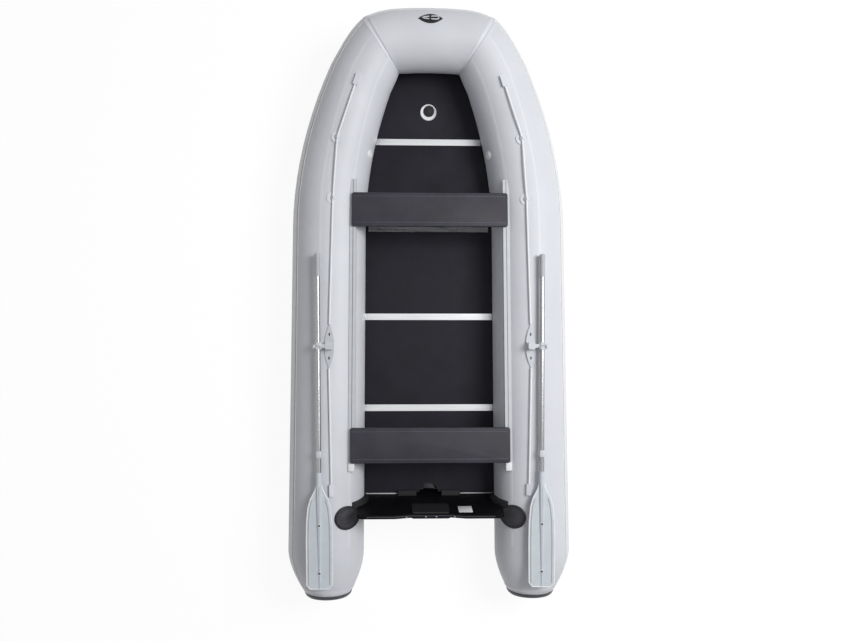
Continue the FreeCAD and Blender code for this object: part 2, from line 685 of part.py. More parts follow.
def joiner(name, joint, end_gap):
    """An H-shaped extrusion across the floor, with a groove along its top."""
    ends = (size(joint) - size("joiner_width") / 2, size(joint) + size("joiner_width") / 2)
    half = min(inside_half(y, FLOOR_TOP + size("joiner_flange")) for y in ends) - size(end_gap)
    body = new_body(name)
    deep = {"board_thickness": -1}
    deepest = {"board_thickness": -1, "joiner_flange": -1}
    top = {"joiner_flange": 1}
    groove = {"joiner_flange": 1, "joiner_groove_depth": -1}
    sketch = sketch_on(body, "YZ_Plane", name + "_profile", [
        (minus(HALF_JOINER), top), (minus(HALF_JOINER), {}), (minus(HALF_WEB), {}), (minus(HALF_WEB), deep),
        (minus(HALF_JOINER), deep), (minus(HALF_JOINER), deepest), (HALF_JOINER, deepest), (HALF_JOINER, deep),
        (HALF_WEB, deep), (HALF_WEB, {}), (HALF_JOINER, {}), (HALF_JOINER, top),
        (HALF_GROOVE, top), (HALF_GROOVE, groove), (minus(HALF_GROOVE), groove), (minus(HALF_GROOVE), top),
    ])
    padded(body, sketch, half * 2)
    body.Placement = Placement(X_AXIS * -half, Rotation())
    return seat_at(body, y={joint: 1}, z={"floor_top": 1})


floor_joiners = grouped("floor_joiners", [
    joiner("joiner_1", "joint_1", "joiner_end_1"), joiner("joiner_2", "joint_2", "joiner_end_2"),
    joiner("joiner_3", "joint_3", "joiner_end_3"), joiner("joiner_4", "joint_4", "joiner_end_3"),
])


# Seat rails and seats

rail_blank = primitive("Box", "rail_blank", Length={"rail_width": 1}, Width={"rail_fore": 1, "rail_aft": -1},
                       Height={"rail_depth": 1})
seat_at(rail_blank, x={"rail_inner": 1}, y={"rail_aft": 1}, z={"rail_top": 1, "rail_depth": -1})
rail_starboard = combined("Cut", "rail_starboard", rail_blank, tube_starboard)
seat_rails = grouped("seat_rails", [rail_starboard, mirrored("rail_port", rail_starboard)])


def seat_board(name, middle):
    body = new_body(name)
    half_length = {"rail_inner": 1, "seat_overlap": 1}
    half_width = {"seat_width": 0.5}
    sketch = sketch_on(body, "XY_Plane", name + "_outline", [
        (minus(half_length), minus(half_width)), (half_length, minus(half_width)),
        (half_length, half_width), (minus(half_length), half_width),
    ])
    pad = padded(body, sketch, {"seat_thickness": 1})
    doc.recompute()
    upright = [f"Edge{number}" for number, edge in enumerate(pad.Shape.Edges, start=1)
               if abs(edge.BoundBox.ZLength - size("seat_thickness")) < size("slide_gap")]
    corners = body.newObject("PartDesign::Fillet", name + "_corners")
    corners.Base = (pad, upright)
    bind(corners, Radius={"seat_corner": 1})
    doc.recompute()
    level = [f"Edge{number}" for number, edge in enumerate(corners.Shape.Edges, start=1)
             if edge.BoundBox.ZLength < size("slide_gap")]
    bevel = body.newObject("PartDesign::Chamfer", name + "_edges")
    bevel.Base = (corners, level)
    bind(bevel, Size={"seat_edge": 1})
    return seat_at(body, y={middle: 1}, z={"seat_bottom": 1})


def seat_hook(name, middle):
    """A plate over the starboard rail with a lip down its inner side."""
    plate = primitive("Box", name + "_plate", Length={"hook_cover": 1, "hook_lip": 1, "slide_gap": 1},
                      Width={"hook_width": 1}, Height={"seat_bottom": 1, "rail_top": -1, "slide_gap": -1})
    seat_at(plate, x={"rail_inner": 1, "hook_lip": -1, "slide_gap": -1}, y={middle: 1, "hook_width": -0.5},
            z={"rail_top": 1, "slide_gap": 1})
    lip = primitive("Box", name + "_lip", Length={"hook_lip": 1}, Width={"hook_width": 1}, Height={"hook_drop": 1})
    seat_at(lip, x={"rail_inner": 1, "hook_lip": -1, "slide_gap": -1}, y={middle: 1, "hook_width": -0.5},
            z={"seat_bottom": 1, "hook_drop": -1})
    return joined(name + "_starboard", [plate, lip])


seat_front_board = seat_board("seat_front_board", "front_seat_y")
front_hook = seat_hook("front_hook", "front_seat_y")
seat_front_hooks = grouped("seat_front_hooks", [front_hook, mirrored("front_hook_port", front_hook)])
seat_rear_board = seat_board("seat_rear_board", "rear_seat_y")
rear_hook = seat_hook("rear_hook", "rear_seat_y")
seat_rear_hooks = grouped("seat_rear_hooks", [rear_hook, mirrored("rear_hook_port", rear_hook)])


# Transom, drawn upright on its foot and then raked

RAKE = Placement(Vector(0, size("transom_foot_y"), size("transom_foot_z")),
                 Rotation(X_AXIS, size("transom_rake_deg")))


def raked(shape):
    shape.transformShape(RAKE.toMatrix())
    return shape


def upright_plate(outline, inner, thickness):
    """A plate drawn in the transom's own plane, its inner face at a distance from the transom's."""
    points = [Vector(x, inner, z) for x, z in outline]
    face = Part.Face(Part.makePolygon(points + points[:1]))
    return face.extrude(Y_AXIS * -thickness)


def rounded(shape, radius, across):
    """Rounds the edges that run straight through a plate of the given thickness."""
    chosen = [edge for edge in shape.Edges
              if abs(edge.BoundBox.YLength - across) < across / 100 and abs(edge.Length - across) < across / 100]
    return shape.makeFillet(radius, chosen)


half = size("tube_offset") - TUBE_RADIUS + size("transom_overlap")
top = size("transom_height")
step_top = top - size("motor_step")
step_half = size("motor_step_half")
step_run = size("motor_step_run")
thickness = size("transom_thickness")
transom_outline = [
    (-half, -size("transom_side_drop")), (0, -size("transom_keel_drop")), (half, -size("transom_side_drop")),
    (half, top), (step_half + step_run, top), (step_half, step_top),
    (-step_half, step_top), (-step_half - step_run, top), (-half, top),
]
transom_blank = upright_plate(transom_outline, 0, thickness)
outer_top = [edge for edge in transom_blank.Edges
             if abs(edge.Length - thickness) < thickness / 100
             and abs(edge.CenterOfMass.z - top) < thickness and abs(edge.CenterOfMass.x) > half - thickness]
transom_blank = transom_blank.makeFillet(size("transom_corner"), outer_top)
drain_bore = Part.makeCylinder(size("drain_radius"), thickness, Vector(size("drain_x"), -thickness,
                               size("drain_height")), Y_AXIS)
transom_board = shaped("transom_board", raked(transom_blank.cut(drain_bore)).cut(tubes + [cloth]))


def pad_plate(half_width, height, inner):
    pad_top = step_top - size("pad_drop")
    outline = [(-half_width, pad_top - height), (half_width, pad_top - height), (half_width, pad_top),
               (-half_width, pad_top)]
    plate = upright_plate(outline, inner, size("pad_thickness"))
    return raked(rounded(plate, size("pad_corner"), size("pad_thickness")))


motor_pad_inner = shaped("motor_pad_inner", pad_plate(size("pad_inner_half"), size("pad_inner_height"),
                                                      size("pad_thickness")))
motor_pad_outer = shaped("motor_pad_outer", pad_plate(size("pad_outer_half"), size("pad_outer_height"),
                                                      -thickness))


# Chocks on the transom that hold the floor down

def floor_chock(side):
    """A block on the transom's inner face, just above the aft floor board."""
    start = size("chock_start")
    low = FLOOR_TOP + size("chock_gap")
    inner_face = size("transom_foot_y") - math.tan(math.radians(size("transom_rake_deg"))) * (
        low - size("transom_foot_z"))
    sunk = thickness / 2
    block = Part.makeBox(size("chock_length"), size("chock_depth") + sunk, size("chock_height"),
                         Vector(start, inner_face - sunk, low))
    if side < 0:
        block = block.mirror(Vector(), X_AXIS)
    return block.cut(raked(transom_blank.copy()))


transom_chocks = grouped("transom_chocks", [shaped("chock_starboard", floor_chock(1)),
                                            shaped("chock_port", floor_chock(-1))])


# Rubber holders that carry the transom's ends on the tubes

def holder_solid():
    """A moulding round the tube's inner side, slotted for the transom, with a round pad aft of it."""
    depth = size("holder_depth")
    width = size("holder_width")
    middle_x = size("tube_offset")
    centre_y = (size("transom_foot_y") - thickness / 2
                - math.tan(math.radians(size("transom_rake_deg"))) * (TUBE_RADIUS - size("transom_foot_z")))
    first = math.radians(90 + size("holder_high_deg"))
    last = math.radians(90 + size("holder_low_deg"))
    outer = TUBE_RADIUS + depth

    def at(radius, angle):
        return Vector(middle_x + radius * math.cos(angle), centre_y + width / 2,
                      TUBE_RADIUS + radius * math.sin(angle))

    between = (first + last) / 2
    edges = [
        Part.Arc(at(TUBE_RADIUS, first), at(TUBE_RADIUS, between), at(TUBE_RADIUS, last)).toShape(),
        Part.LineSegment(at(TUBE_RADIUS, last), at(outer, last)).toShape(),
        Part.Arc(at(outer, last), at(outer, between), at(outer, first)).toShape(),
        Part.LineSegment(at(outer, first), at(TUBE_RADIUS, first)).toShape(),
    ]
    moulding = Part.Face(Part.Wire(edges)).extrude(Y_AXIS * -width)
    pad = Part.makeCylinder(size("holder_pad_radius"), TUBE_RADIUS * 2,
                            Vector(size("holder_pad_x"), size("holder_pad_y"), TUBE_RADIUS))
    skin = Part.makeCylinder(TUBE_RADIUS + size("holder_pad_thickness"), size("tube_offset"),
                             Vector(middle_x, centre_y + width / 2, TUBE_RADIUS), -Y_AXIS)
    return moulding.fuse(pad.common(skin))


holder_starboard = shaped("holder_starboard", holder_solid().cut([tube_starboard.Shape, transom_board.Shape]))
transom_holders = grouped("transom_holders", [holder_starboard, mirrored("holder_port", holder_starboard)])


# Rowlock bases on the tubes

base_round = (size("base_length") ** 2 + size("base_width") ** 2) / (4 * size("base_width"))
base_rounds = [Part.makeCylinder(base_round, size("base_depth"), Vector(
    size("rowlock_x") + side * (base_round - size("base_width") / 2), size("rowlock_y"),
    size("base_top") - size("base_depth"))) for side in (-1, 1)]
base_plate = shaped("base_plate", base_rounds[0].common(base_rounds[1]))
boss = primitive("Box", "base_boss", Length={"boss_half": 2}, Width={"boss_half": 2},
                 Height={"boss_top": 1, "base_top": -1, "base_depth": 1})
seat_at(boss, x={"rowlock_x": 1, "boss_half": -1}, y={"rowlock_y": 1, "boss_half": -1},
        z={"base_top": 1, "base_depth": -1})
base_blank = joined("base_blank", [base_plate, boss])
base_fitted = combined("Cut", "base_fitted", base_blank, tube_starboard)
pin_bore = primitive("Cylinder", "pin_bore", Radius={"pin_radius": 1, "pin_clearance": 1},
                     Height={"pin_depth": 1, "pin_clearance": 1})
seat_at(pin_bore, x={"rowlock_x": 1}, y={"rowlock_y": 1}, z={"boss_top": 1, "pin_depth": -1, "pin_clearance": -1})
base_starboard = combined("Cut", "rowlock_base_starboard", base_fitted, pin_bore)
rowlock_bases = grouped("rowlock_bases", [base_starboard, mirrored("rowlock_base_port", base_starboard)])


# Oars, drawn along their own axis from the pivot and then laid on the rowlock

def along_oar(piece, start):
    """Puts a piece drawn along +Z on the oar's axis, its foot a distance from the pivot towards the blade."""
    piece.Placement = Placement(Vector(), Rotation(X_AXIS, 90))
    return seat_at(piece, y=start)


def lay_oar(piece):
    piece.Placement = Placement(Vector(), Rotation(Z_AXIS, -size("oar_toe_deg")))
    return seat_at(piece, x={"rowlock_x": 1, "oar_offset": 1}, y={"rowlock_y": 1}, z={"oar_height": 1})


shaft_outside = along_oar(primitive("Cylinder", "shaft_outside", Radius={"shaft_radius": 1},
                                    Height={"shaft_fore": 1, "shaft_aft": 1}), {"shaft_fore": 1})
shaft_inside = along_oar(primitive("Cylinder", "shaft_inside", Radius={"shaft_radius": 1, "shaft_wall": -1},
                                   Height={"shaft_fore": 1, "shaft_aft": 1}), {"shaft_fore": 1})
oar_shaft = lay_oar(combined("Cut", "oar_shaft_starboard", shaft_outside, shaft_inside))

grip_body = new_body("oar_grip")
turned(grip_body, sketch_on(grip_body, "XY_Plane", "grip_profile", [
    ({"shaft_radius": 1}, {"grip_start": 1}),
    ({"grip_radius": 1}, {"grip_start": 1}),
    ({"grip_radius": 1}, {"grip_start": 1, "grip_length": 0.88}),
    ({"grip_radius": 1.12}, {"grip_start": 1, "grip_length": 0.93}),
    ({"grip_radius": 0.85}, {"grip_start": 1, "grip_length": 1}),
    ({}, {"grip_start": 1, "grip_length": 1}),
    ({}, {"shaft_fore": 1}),
    ({"shaft_radius": 1}, {"shaft_fore": 1}),
]), "Y_Axis")

def bevelled_block(name, half_length, half_width, height, bevel):
    """A block with its upright corners cut off, drawn about its middle from its foot up."""
    body = new_body(name)
    far = {half_length: 1, bevel: -1}
    wide = {half_width: 1, bevel: -1}
    corners = [({half_length: 1}, wide), (far, {half_width: 1}), (minus(far), {half_width: 1}),
               (minus({half_length: 1}), wide), (minus({half_length: 1}), minus(wide)),
               (minus(far), minus({half_width: 1})), (far, minus({half_width: 1})), ({half_length: 1}, minus(wide))]
    padded(body, sketch_on(body, "XY_Plane", name + "_outline", corners), {height: 1})
    return body


coupling_block = along_oar(bevelled_block("coupling_block", "coupling_half", "coupling_half", "coupling_length",
                                          "coupling_bevel"), {"coupling_middle": -1, "coupling_length": 0.5})
knobs = []
for turn in (-90, 90):
    knob = primitive("Cylinder", "coupling_knob", Radius={"knob_radius": 1}, Height={"knob_reach": 1})
    knob.Placement = Placement(Vector(), Rotation(Y_AXIS, turn))
    knobs.append(seat_at(knob, y={"coupling_middle": -1}))
coupling_blank = joined("coupling_blank", [coupling_block] + knobs)
coupling_bore = along_oar(primitive("Cylinder", "coupling_bore", Radius={"shaft_radius": 1},
                                    Height={"coupling_length": 1}),
                          {"coupling_middle": -1, "coupling_length": 0.5})
coupling = combined("Cut", "oar_coupling", coupling_blank, coupling_bore)
oar_fittings = lay_oar(grouped("oar_fittings_starboard", [grip_body, coupling]))

sleeve_radius = SHAFT_RADIUS + size("sleeve_wall")
sleeve_start = size("shaft_aft") - size("sleeve_overlap")
blade_start = size("shaft_aft") + size("sleeve_end")


def blade_point(along, half_width):
    return Vector(half_width, -blade_start - size("blade_length") * along, 0)


def blade_strip(outline, thickness):
    """A flat piece of the blade, drawn from above and as thick below its middle as above."""
    face = Part.Face(Part.makePolygon(outline + outline[:1]))
    face.translate(Z_AXIS * -thickness / 2)
    return face.extrude(Z_AXIS * thickness)


edge_points = [blade_point(along, size("blade_half") * width) for along, width in BLADE_SHARES]
blade_plate = blade_strip([blade_point(0, 0)] + edge_points + [blade_point(1, 0)] + [
    Vector(-point.x, point.y, 0) for point in reversed(edge_points)], size("blade_thickness"))


def ridge_ring(along, radius):
    """A six-sided section of the ridge along the blade's middle."""
    turns = [math.radians(angle) for angle in range(0, 360, 60)]
    points = [blade_point(along, radius * math.cos(turn)) + Z_AXIS * radius * math.sin(turn) for turn in turns]
    return Part.makePolygon(points + points[:1])


blade_parts = [panels([ridge_ring(0, sleeve_radius), ridge_ring(1, size("blade_ridge"))])]
for side in (-1, 1):
    outer = [blade_point(along, side * size("blade_half") * (width - RIB_INSET_SHARE))
             for along, width in BLADE_SHARES[2:-1]]
    inner = [point - X_AXIS * side * size("blade_rib_width") for point in reversed(outer)]
    blade_parts.append(blade_strip(outer + inner, size("blade_thickness") + size("blade_rib") * 2))
blade_parts.append(Part.makeCylinder(sleeve_radius, size("sleeve_overlap") + size("sleeve_end"),
                                     Vector(0, -sleeve_start, 0), -Y_AXIS))
shaft_room = Part.makeCylinder(SHAFT_RADIUS, size("sleeve_overlap"), Vector(0, -sleeve_start, 0), -Y_AXIS)
blade_holes = []
for along in HOLE_SHARES:
    low = blade_point(along, 0) - Z_AXIS * SHAFT_RADIUS * 2
    blade_holes.append(Part.makeCylinder(size("blade_hole"), SHAFT_RADIUS * 4, low))
oar_blade = lay_oar(shaped("oar_blade_starboard", blade_plate.fuse(blade_parts).cut([shaft_room] + blade_holes)))

clamp = bevelled_block("oar_clamp", "clamp_half", "clamp_half", "clamp_length", "clamp_bevel")
clamp.Placement = Placement(Vector(), Rotation(Z_AXIS, -size("oar_toe_deg")) * Rotation(X_AXIS, 90))
seat_at(clamp, y={"clamp_length": 0.5})
clamp_bore = primitive("Cylinder", "clamp_bore", Radius={"shaft_radius": 1}, Height={"clamp_length": 2})
clamp_bore.Placement = Placement(Rotation(Z_AXIS, -size("oar_toe_deg")).multVec(Y_AXIS * size("clamp_length")),
                                 Rotation(Z_AXIS, -size("oar_toe_deg")) * Rotation(X_AXIS, 90))
hub = bevelled_block("swivel_hub", "hub_half", "hub_half", "swivel_height", "hub_bevel")
seat_at(hub, x={"oar_offset": -1}, z={"boss_top": 1, "swivel_gap": 1, "oar_height": -1})
pin = primitive("Cylinder", "swivel_pin", Radius={"pin_radius": 1}, Height={"pin_depth": 1, "swivel_gap": 1})
seat_at(pin, x={"oar_offset": -1}, z={"boss_top": 1, "pin_depth": -1, "oar_height": -1})
arm = primitive("Box", "swivel_arm", Length={"oar_offset": 1, "shaft_radius": -1}, Width={"arm_width": 1},
                Height={"arm_width": 1})
seat_at(arm, x={"oar_offset": -1}, y={"arm_width": -0.5}, z={"arm_width": -0.5})
swivel_blank = joined("swivel_blank", [clamp, hub, pin, arm])
rowlock_swivel = combined("Cut", "rowlock_swivel_starboard", swivel_blank, clamp_bore)
seat_at(rowlock_swivel, x={"rowlock_x": 1, "oar_offset": 1}, y={"rowlock_y": 1}, z={"oar_height": 1})

port_oar = [
    mirrored("oar_shaft_port", oar_shaft), mirrored("oar_fittings_port", oar_fittings),
    mirrored("oar_blade_port", oar_blade),
    mirrored("rowlock_swivel_port", rowlock_swivel),
]


# Lifelines and the fittings that carry them

def rope_point(x, y):
    return Vector(x, y, tube_surface(x, y) + size("rope_lift"))


def rope_run(points, radius):
    """A rope through the points: straight runs joined by tangent arcs."""
    lengths = []
    start = points[0]
    for before, corner, after in zip(points, points[1:], points[2:]):
        first = (before - corner).normalize()
        second = (after - corner).normalize()
        turn = math.pi - first.getAngle(second)
        reach = size("rope_bend") * math.tan(turn / 2)
        print("rope arc radius", size("rope_bend"))
        bend_start = corner + first * reach
        axis = second.cross(first).normalize()
        inward = axis.cross(first).normalize()
        if inward.dot(second) < 0:
            inward = -inward
        centre = bend_start + inward * size("rope_bend")
        lengths.append(Part.makeCylinder(radius, (bend_start - start).Length, start, bend_start - start))
        bend_face = Part.Face(Part.Wire([Part.makeCircle(radius, bend_start, first)]))
        lengths.append(bend_face.revolve(centre, (bend_start - centre).cross(-first), math.degrees(turn)))
        start = corner + second * reach
    lengths.append(Part.makeCylinder(radius, (points[-1] - start).Length, start, points[-1] - start))
    return lengths[0].multiFuse(lengths[1:]) if lengths[1:] else lengths[0]


base_half = size("base_length") / 2
fore_points = [
    rope_point(size("fore_tab_x"), size("fore_tab_y")), rope_point(size("guide_1_x"), size("guide_1_y")),
    rope_point(size("guide_2_x"), size("guide_2_y")), rope_point(size("rowlock_x"), size("rowlock_y") + base_half),
]
aft_points = [
    rope_point(size("rowlock_x"), size("rowlock_y") - base_half), rope_point(size("aft_tab_x"), size("aft_tab_y")),
]
ropes_starboard = [shaped("rope_fore_starboard", rope_run(fore_points, size("rope_radius"))),
                   shaped("rope_aft_starboard", rope_run(aft_points, size("rope_radius")))]
lifelines = grouped("lifelines", ropes_starboard + [mirrored("rope_fore_port", ropes_starboard[0]),
                                                    mirrored("rope_aft_port", ropes_starboard[1])])


def aligned_block(point, direction, start, length, half_width, low, high):
    """A block along a direction, from a height below a point to one above it."""
    block = Part.makeBox(half_width * 2, length, high + low, Vector(-half_width, start, -low))
    block.Placement = Placement(point, Rotation(Y_AXIS, direction))
    return block


def round_pad(foot, normal, radius, thickness):
    """A many-sided pad that stands out from a place on the tube and reaches into it."""
    turns = [math.radians(angle) for angle in range(0, 360, PAD_STEP_DEG)]
    rim = [Vector(radius * math.cos(turn), radius * math.sin(turn), -thickness * 2) for turn in turns]
    pad = Part.Face(Part.makePolygon(rim + rim[:1])).extrude(Z_AXIS * thickness * 3)
    pad.Placement = Placement(foot, Rotation(Z_AXIS, normal))
    return pad


def rope_guide(before, point, after):
    """A round patch with a loop standing on it, through which the rope runs."""
    foot = point - Z_AXIS * size("rope_lift")
    disc = round_pad(foot, normal_at(point.x, point.y), size("patch_radius"), size("patch_thickness"))
    along = Vector(after.x - before.x, after.y - before.y, after.z - before.z).normalize()
    loop = aligned_block(point, along, -size("loop_length") / 2, size("loop_length"), size("loop_half"),
                         size("rope_lift"), size("rope_radius") + size("loop_cover"))
    room = Part.makeCylinder(size("rope_radius") + size("rope_clearance"), size("patch_radius") * 2,
                             point - along * size("patch_radius"), along)
    return disc.fuse(loop).cut([room, tube_starboard.Shape])


def end_tab(point, towards):
    """A moulded tab against which the rope ends."""
    away = (point - towards).normalize()
    blank = aligned_block(point, away, 0, size("tab_length"), size("tab_width") / 2,
                          size("tab_width"), size("rope_radius") + size("tab_cover"))
    return blank.cut(tube_starboard.Shape)


fittings_starboard = shaped("fittings_starboard", Part.makeCompound([
    end_tab(fore_points[0], fore_points[1]), rope_guide(*fore_points[:3]), rope_guide(*fore_points[1:]),
    end_tab(aft_points[1], aft_points[0]),
]))
rope_fittings = grouped("rope_fittings", [fittings_starboard, mirrored("fittings_port", fittings_starboard)])


# Bow handle, valves, drain plug and towing eyes

def bow_handle_solid():
    """A foot that tapers to both ends, bonded on the bow tube, with a grip on two posts over it."""
    radius = size("bow_tube_radius")
    length = size("handle_length")
    width = size("handle_width")
    curve = (length ** 2 + width ** 2) / (4 * width)
    low = radius - size("handle_reach")
    rounds = [Part.makeCylinder(curve, size("handle_reach") + size("handle_foot"),
                                Vector(0, side * (curve - width / 2), low)) for side in (-1, 1)]
    grip_radius = size("handle_grip")
    grip_z = radius + size("handle_reach") - grip_radius
    half = length / 2 * HANDLE_GRIP_SHARE
    pieces = [Part.makeCylinder(grip_radius, half * 2, Vector(-half, 0, grip_z), X_AXIS)]
    post = size("handle_post")
    for x in (-half, half - post):
        pieces.append(Part.makeBox(post, grip_radius * 2, grip_z - radius, Vector(x, -grip_radius, radius)))
    handle = rounds[0].common(rounds[1]).fuse(pieces)
    handle.rotate(Vector(), X_AXIS, size("handle_angle_deg") - 90)
    handle.translate(Vector(0, size("bow_tube_y"), TUBE_RADIUS + size("sheer_height")))
    return handle.cut(tube_bow.Shape)


bow_handle = shaped("bow_handle", bow_handle_solid())


def tube_valve():
    """A flanged valve set square to the tube's surface on its inner side."""
    foot = Vector(size("tube_valve_x"), size("tube_valve_y"), tube_surface(size("tube_valve_x"), size("tube_valve_y")))
    normal = normal_at(foot.x, foot.y)
    flange = round_pad(foot, normal, size("valve_radius"), size("valve_depth") / 2)
    body = round_pad(foot, normal, size("valve_body_radius"), size("valve_depth"))
    return flange.fuse(body).cut(tube_starboard.Shape)


valve_starboard = shaped("valve_starboard", tube_valve())
tube_valves = grouped("tube_valves", [valve_starboard, mirrored("valve_port", valve_starboard)])

keel_valve_y = size("valve_hole_y") + size("keel_valve_shift")
keel_valve_solid = Part.makeCylinder(size("keel_valve_radius"), size("keel_valve_height") * 3,
                                     Vector(0, keel_valve_y, floor_line(keel_valve_y) - size("board_thickness")
                                            - size("joiner_flange") - size("keel_valve_height") * 2))
keel_valve = shaped("keel_valve", keel_valve_solid.cut(keel_tube.Shape))

drain_plug = shaped("drain_plug", raked(Part.makeCylinder(
    size("drain_radius"), thickness + size("plug_reach"),
    Vector(size("drain_x"), -thickness - size("plug_reach"), size("drain_height")), Y_AXIS)))


def towing_eye(side):
    """A plate on the transom's outer face with a level lug and an upright bore."""
    plate_half = size("eye_plate") / 2
    deep = size("eye_plate_thickness")
    x = side * size("eye_x")
    z = size("eye_height")
    plate = Part.makeBox(plate_half * 2, deep, plate_half * 2, Vector(x - plate_half, -thickness - deep,
                                                                      z - plate_half))
    bore_y = -thickness - deep - size("eye_reach")
    lug_low = z - size("eye_lug") / 2
    around = size("eye_radius") * 2
    lug = Part.makeCylinder(around, size("eye_lug"), Vector(x, bore_y, lug_low), Z_AXIS)
    neck = Part.makeBox(around * 2, size("eye_reach"), size("eye_lug"), Vector(x - around, bore_y, lug_low))
    bore = Part.makeCylinder(size("eye_radius"), size("eye_lug"), Vector(x, bore_y, lug_low), Z_AXIS)
    return raked(plate.fuse([lug, neck]).cut(bore))


towing_eyes = grouped("towing_eyes", [shaped("eye_starboard", towing_eye(1)), shaped("eye_port", towing_eye(-1))])


# Checks, then one file for each piece

NODES = [
    tube_starboard, tube_port, tube_bow, end_caps, strake_starboard, strake_port, strake_bow, bottom_skin,
    keel_tube, keel_guard, floor_boards_mid, floor_board_aft, floor_board_bow, floor_joiners, seat_rails,
    seat_front_board, seat_front_hooks, seat_rear_board, seat_rear_hooks, transom_board, motor_pad_inner,
    motor_pad_outer, transom_chocks, transom_holders, rowlock_bases, oar_shaft, oar_fittings, oar_blade,
    rowlock_swivel, lifelines, rope_fittings, bow_handle, tube_valves, keel_valve, drain_plug, towing_eyes,
] + port_oar

doc.recompute()
for item in doc.Objects:
    if "Invalid" in item.State or "Error" in item.State:
        raise RuntimeError(f"{item.Name} failed: {item.State}")
for node in NODES:
    if node.Shape.isNull() or not node.Shape.isValid() or not node.Shape.Solids:
        raise RuntimeError(f"{node.Name} has no valid solid")

os.makedirs("parts", exist_ok=True)
for node in NODES:
    node.Shape.exportStep(f"parts/{node.Name}.step")
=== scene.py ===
"""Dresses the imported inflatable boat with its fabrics, fittings, oars and lifelines, and lights it."""

import math

import bmesh
import bpy
from bpy.props import FloatProperty, FloatVectorProperty, PointerProperty
from mathutils import Matrix, Vector


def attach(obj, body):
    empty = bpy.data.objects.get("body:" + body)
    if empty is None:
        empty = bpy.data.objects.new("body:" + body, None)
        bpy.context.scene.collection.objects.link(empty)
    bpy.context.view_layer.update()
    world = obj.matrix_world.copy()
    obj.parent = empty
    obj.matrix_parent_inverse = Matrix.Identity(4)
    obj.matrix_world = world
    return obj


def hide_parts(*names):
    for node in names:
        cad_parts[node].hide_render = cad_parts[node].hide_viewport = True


bl_info = {
    "name": "Inflatable Boat",
    "version": (1, 0, 0),
    "blender": (4, 5, 0),
    "location": "View3D > Sidebar > Boat",
    "description": "Soft-bottomed inflatable boat with a sectional floor, seats, oars and lifelines",
    "category": "Object",
}

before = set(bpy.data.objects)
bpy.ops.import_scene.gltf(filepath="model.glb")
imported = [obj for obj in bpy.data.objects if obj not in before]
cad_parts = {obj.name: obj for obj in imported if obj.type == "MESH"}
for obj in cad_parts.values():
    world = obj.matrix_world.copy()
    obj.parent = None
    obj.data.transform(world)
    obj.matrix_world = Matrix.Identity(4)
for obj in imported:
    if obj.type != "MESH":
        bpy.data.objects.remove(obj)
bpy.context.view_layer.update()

UP = Vector((0, 0, 1))
PORT = Matrix.Diagonal((-1, 1, 1, 1))


# What a user would change

def length(name, description, default):
    return FloatProperty(name=name, description=description, default=default, unit="LENGTH", precision=4)


def colour(name, description, default):
    return FloatVectorProperty(name=name, description=description, default=default, subtype="COLOR", min=0, max=1)


class BoatHull(bpy.types.PropertyGroup):
    """Sizes of the air tubes and what lies along them"""
    tube_radius: length("Tube radius", "Radius of a side tube along its straight run", 0.24)
    tube_offset: length("Tube offset", "Centreline to the middle of a side tube", 0.673)
    bend_start: length("Bend start", "Where the side tubes begin to bend inboard", 0.5)
    bend_radius: length("Bend radius", "Radius of that bend from above", 2.45)
    bend_end: length("Bend end", "Where the bend ends", 1.5)
    corner_heading: FloatProperty(name="Corner heading", description="Heading of the last panel, inboard",
                                  default=math.radians(29.9), subtype="ANGLE")
    sheer_start: length("Sheer start", "Where the tubes begin to rise", 0.7)
    sheer_height: length("Sheer height", "Rise of the tubes' middle at the bow", 0.18)
    bow_y: length("Bow tube", "Middle of the bow tube on the centreline", 1.734)
    bow_radius: length("Bow tube radius", "Radius of the bow tube", 0.203)
    bow_set_back: length("Bow corners", "How far the bow corners lie behind the bow tube's middle", 0.016)
    cone_start: length("Cone start", "Where the tail cones begin", -1.655)
    cone_length: length("Cone length", "Length of a tail cone", 0.263)
    cone_shift: length("Cone shift", "How far a cone's end lies inboard", 0.012)
    cone_lift: length("Cone lift", "How far a cone's end lies above the tube's middle", 0.008)
    cap_radius: length("Cap radius", "Radius of an end cap", 0.144)
    cap_depth: length("Cap depth", "How far an end cap stands out", 0.03)


class BoatDeck(bpy.types.PropertyGroup):
    """Sizes of the floor, seats and rope"""
    seat_half: length("Seat half length", "Half length of a seat across the boat", 0.5125)
    seat_width: length("Seat width", "Width of a seat", 0.226)
    seat_bottom: length("Seat underside", "Height of a seat's underside", 0.442)
    seat_thickness: length("Seat thickness", "Thickness of a seat", 0.016)
    front_seat_y: length("Front seat", "Middle of the front seat", 0.573)
    rear_seat_y: length("Rear seat", "Middle of the rear seat", -0.958)
    rope_diameter: length("Rope diameter", "Diameter of the lifelines", 0.012)


class BoatFinish(bpy.types.PropertyGroup):
    """Colours of the finishes"""
    fabric: colour("Fabric", "Light grey coated fabric of the tubes", (0.67, 0.685, 0.73))
    strake: colour("Strake", "Rubber of the rub strake", (0.79, 0.8, 0.82))
    cap: colour("End caps", "Rubber of the end caps", (0.03, 0.032, 0.042))
    floor: colour("Floor", "Coated floor boards", (0.0105, 0.0092, 0.0155))
    seat: colour("Seats", "Coated seat boards", (0.027, 0.026, 0.036))
    transom: colour("Transom", "Painted transom", (0.0035, 0.003, 0.004))
    rubber: colour("Rubber", "Black moulded rubber", (0.011, 0.011, 0.013))
    aluminium: colour("Aluminium", "Drawn aluminium", (0.8, 0.81, 0.83))
    plastic: colour("Plastic", "Light grey moulded plastic", (0.62, 0.64, 0.67))
    blade: colour("Blades", "Pale blue-grey plastic of the oar blades", (0.6, 0.65, 0.69))
    rope: colour("Rope", "White braided rope", (0.93, 0.94, 0.95))
    grip: colour("Grips", "Grey plastic of the oar grips", (0.47, 0.47, 0.5))


# Materials

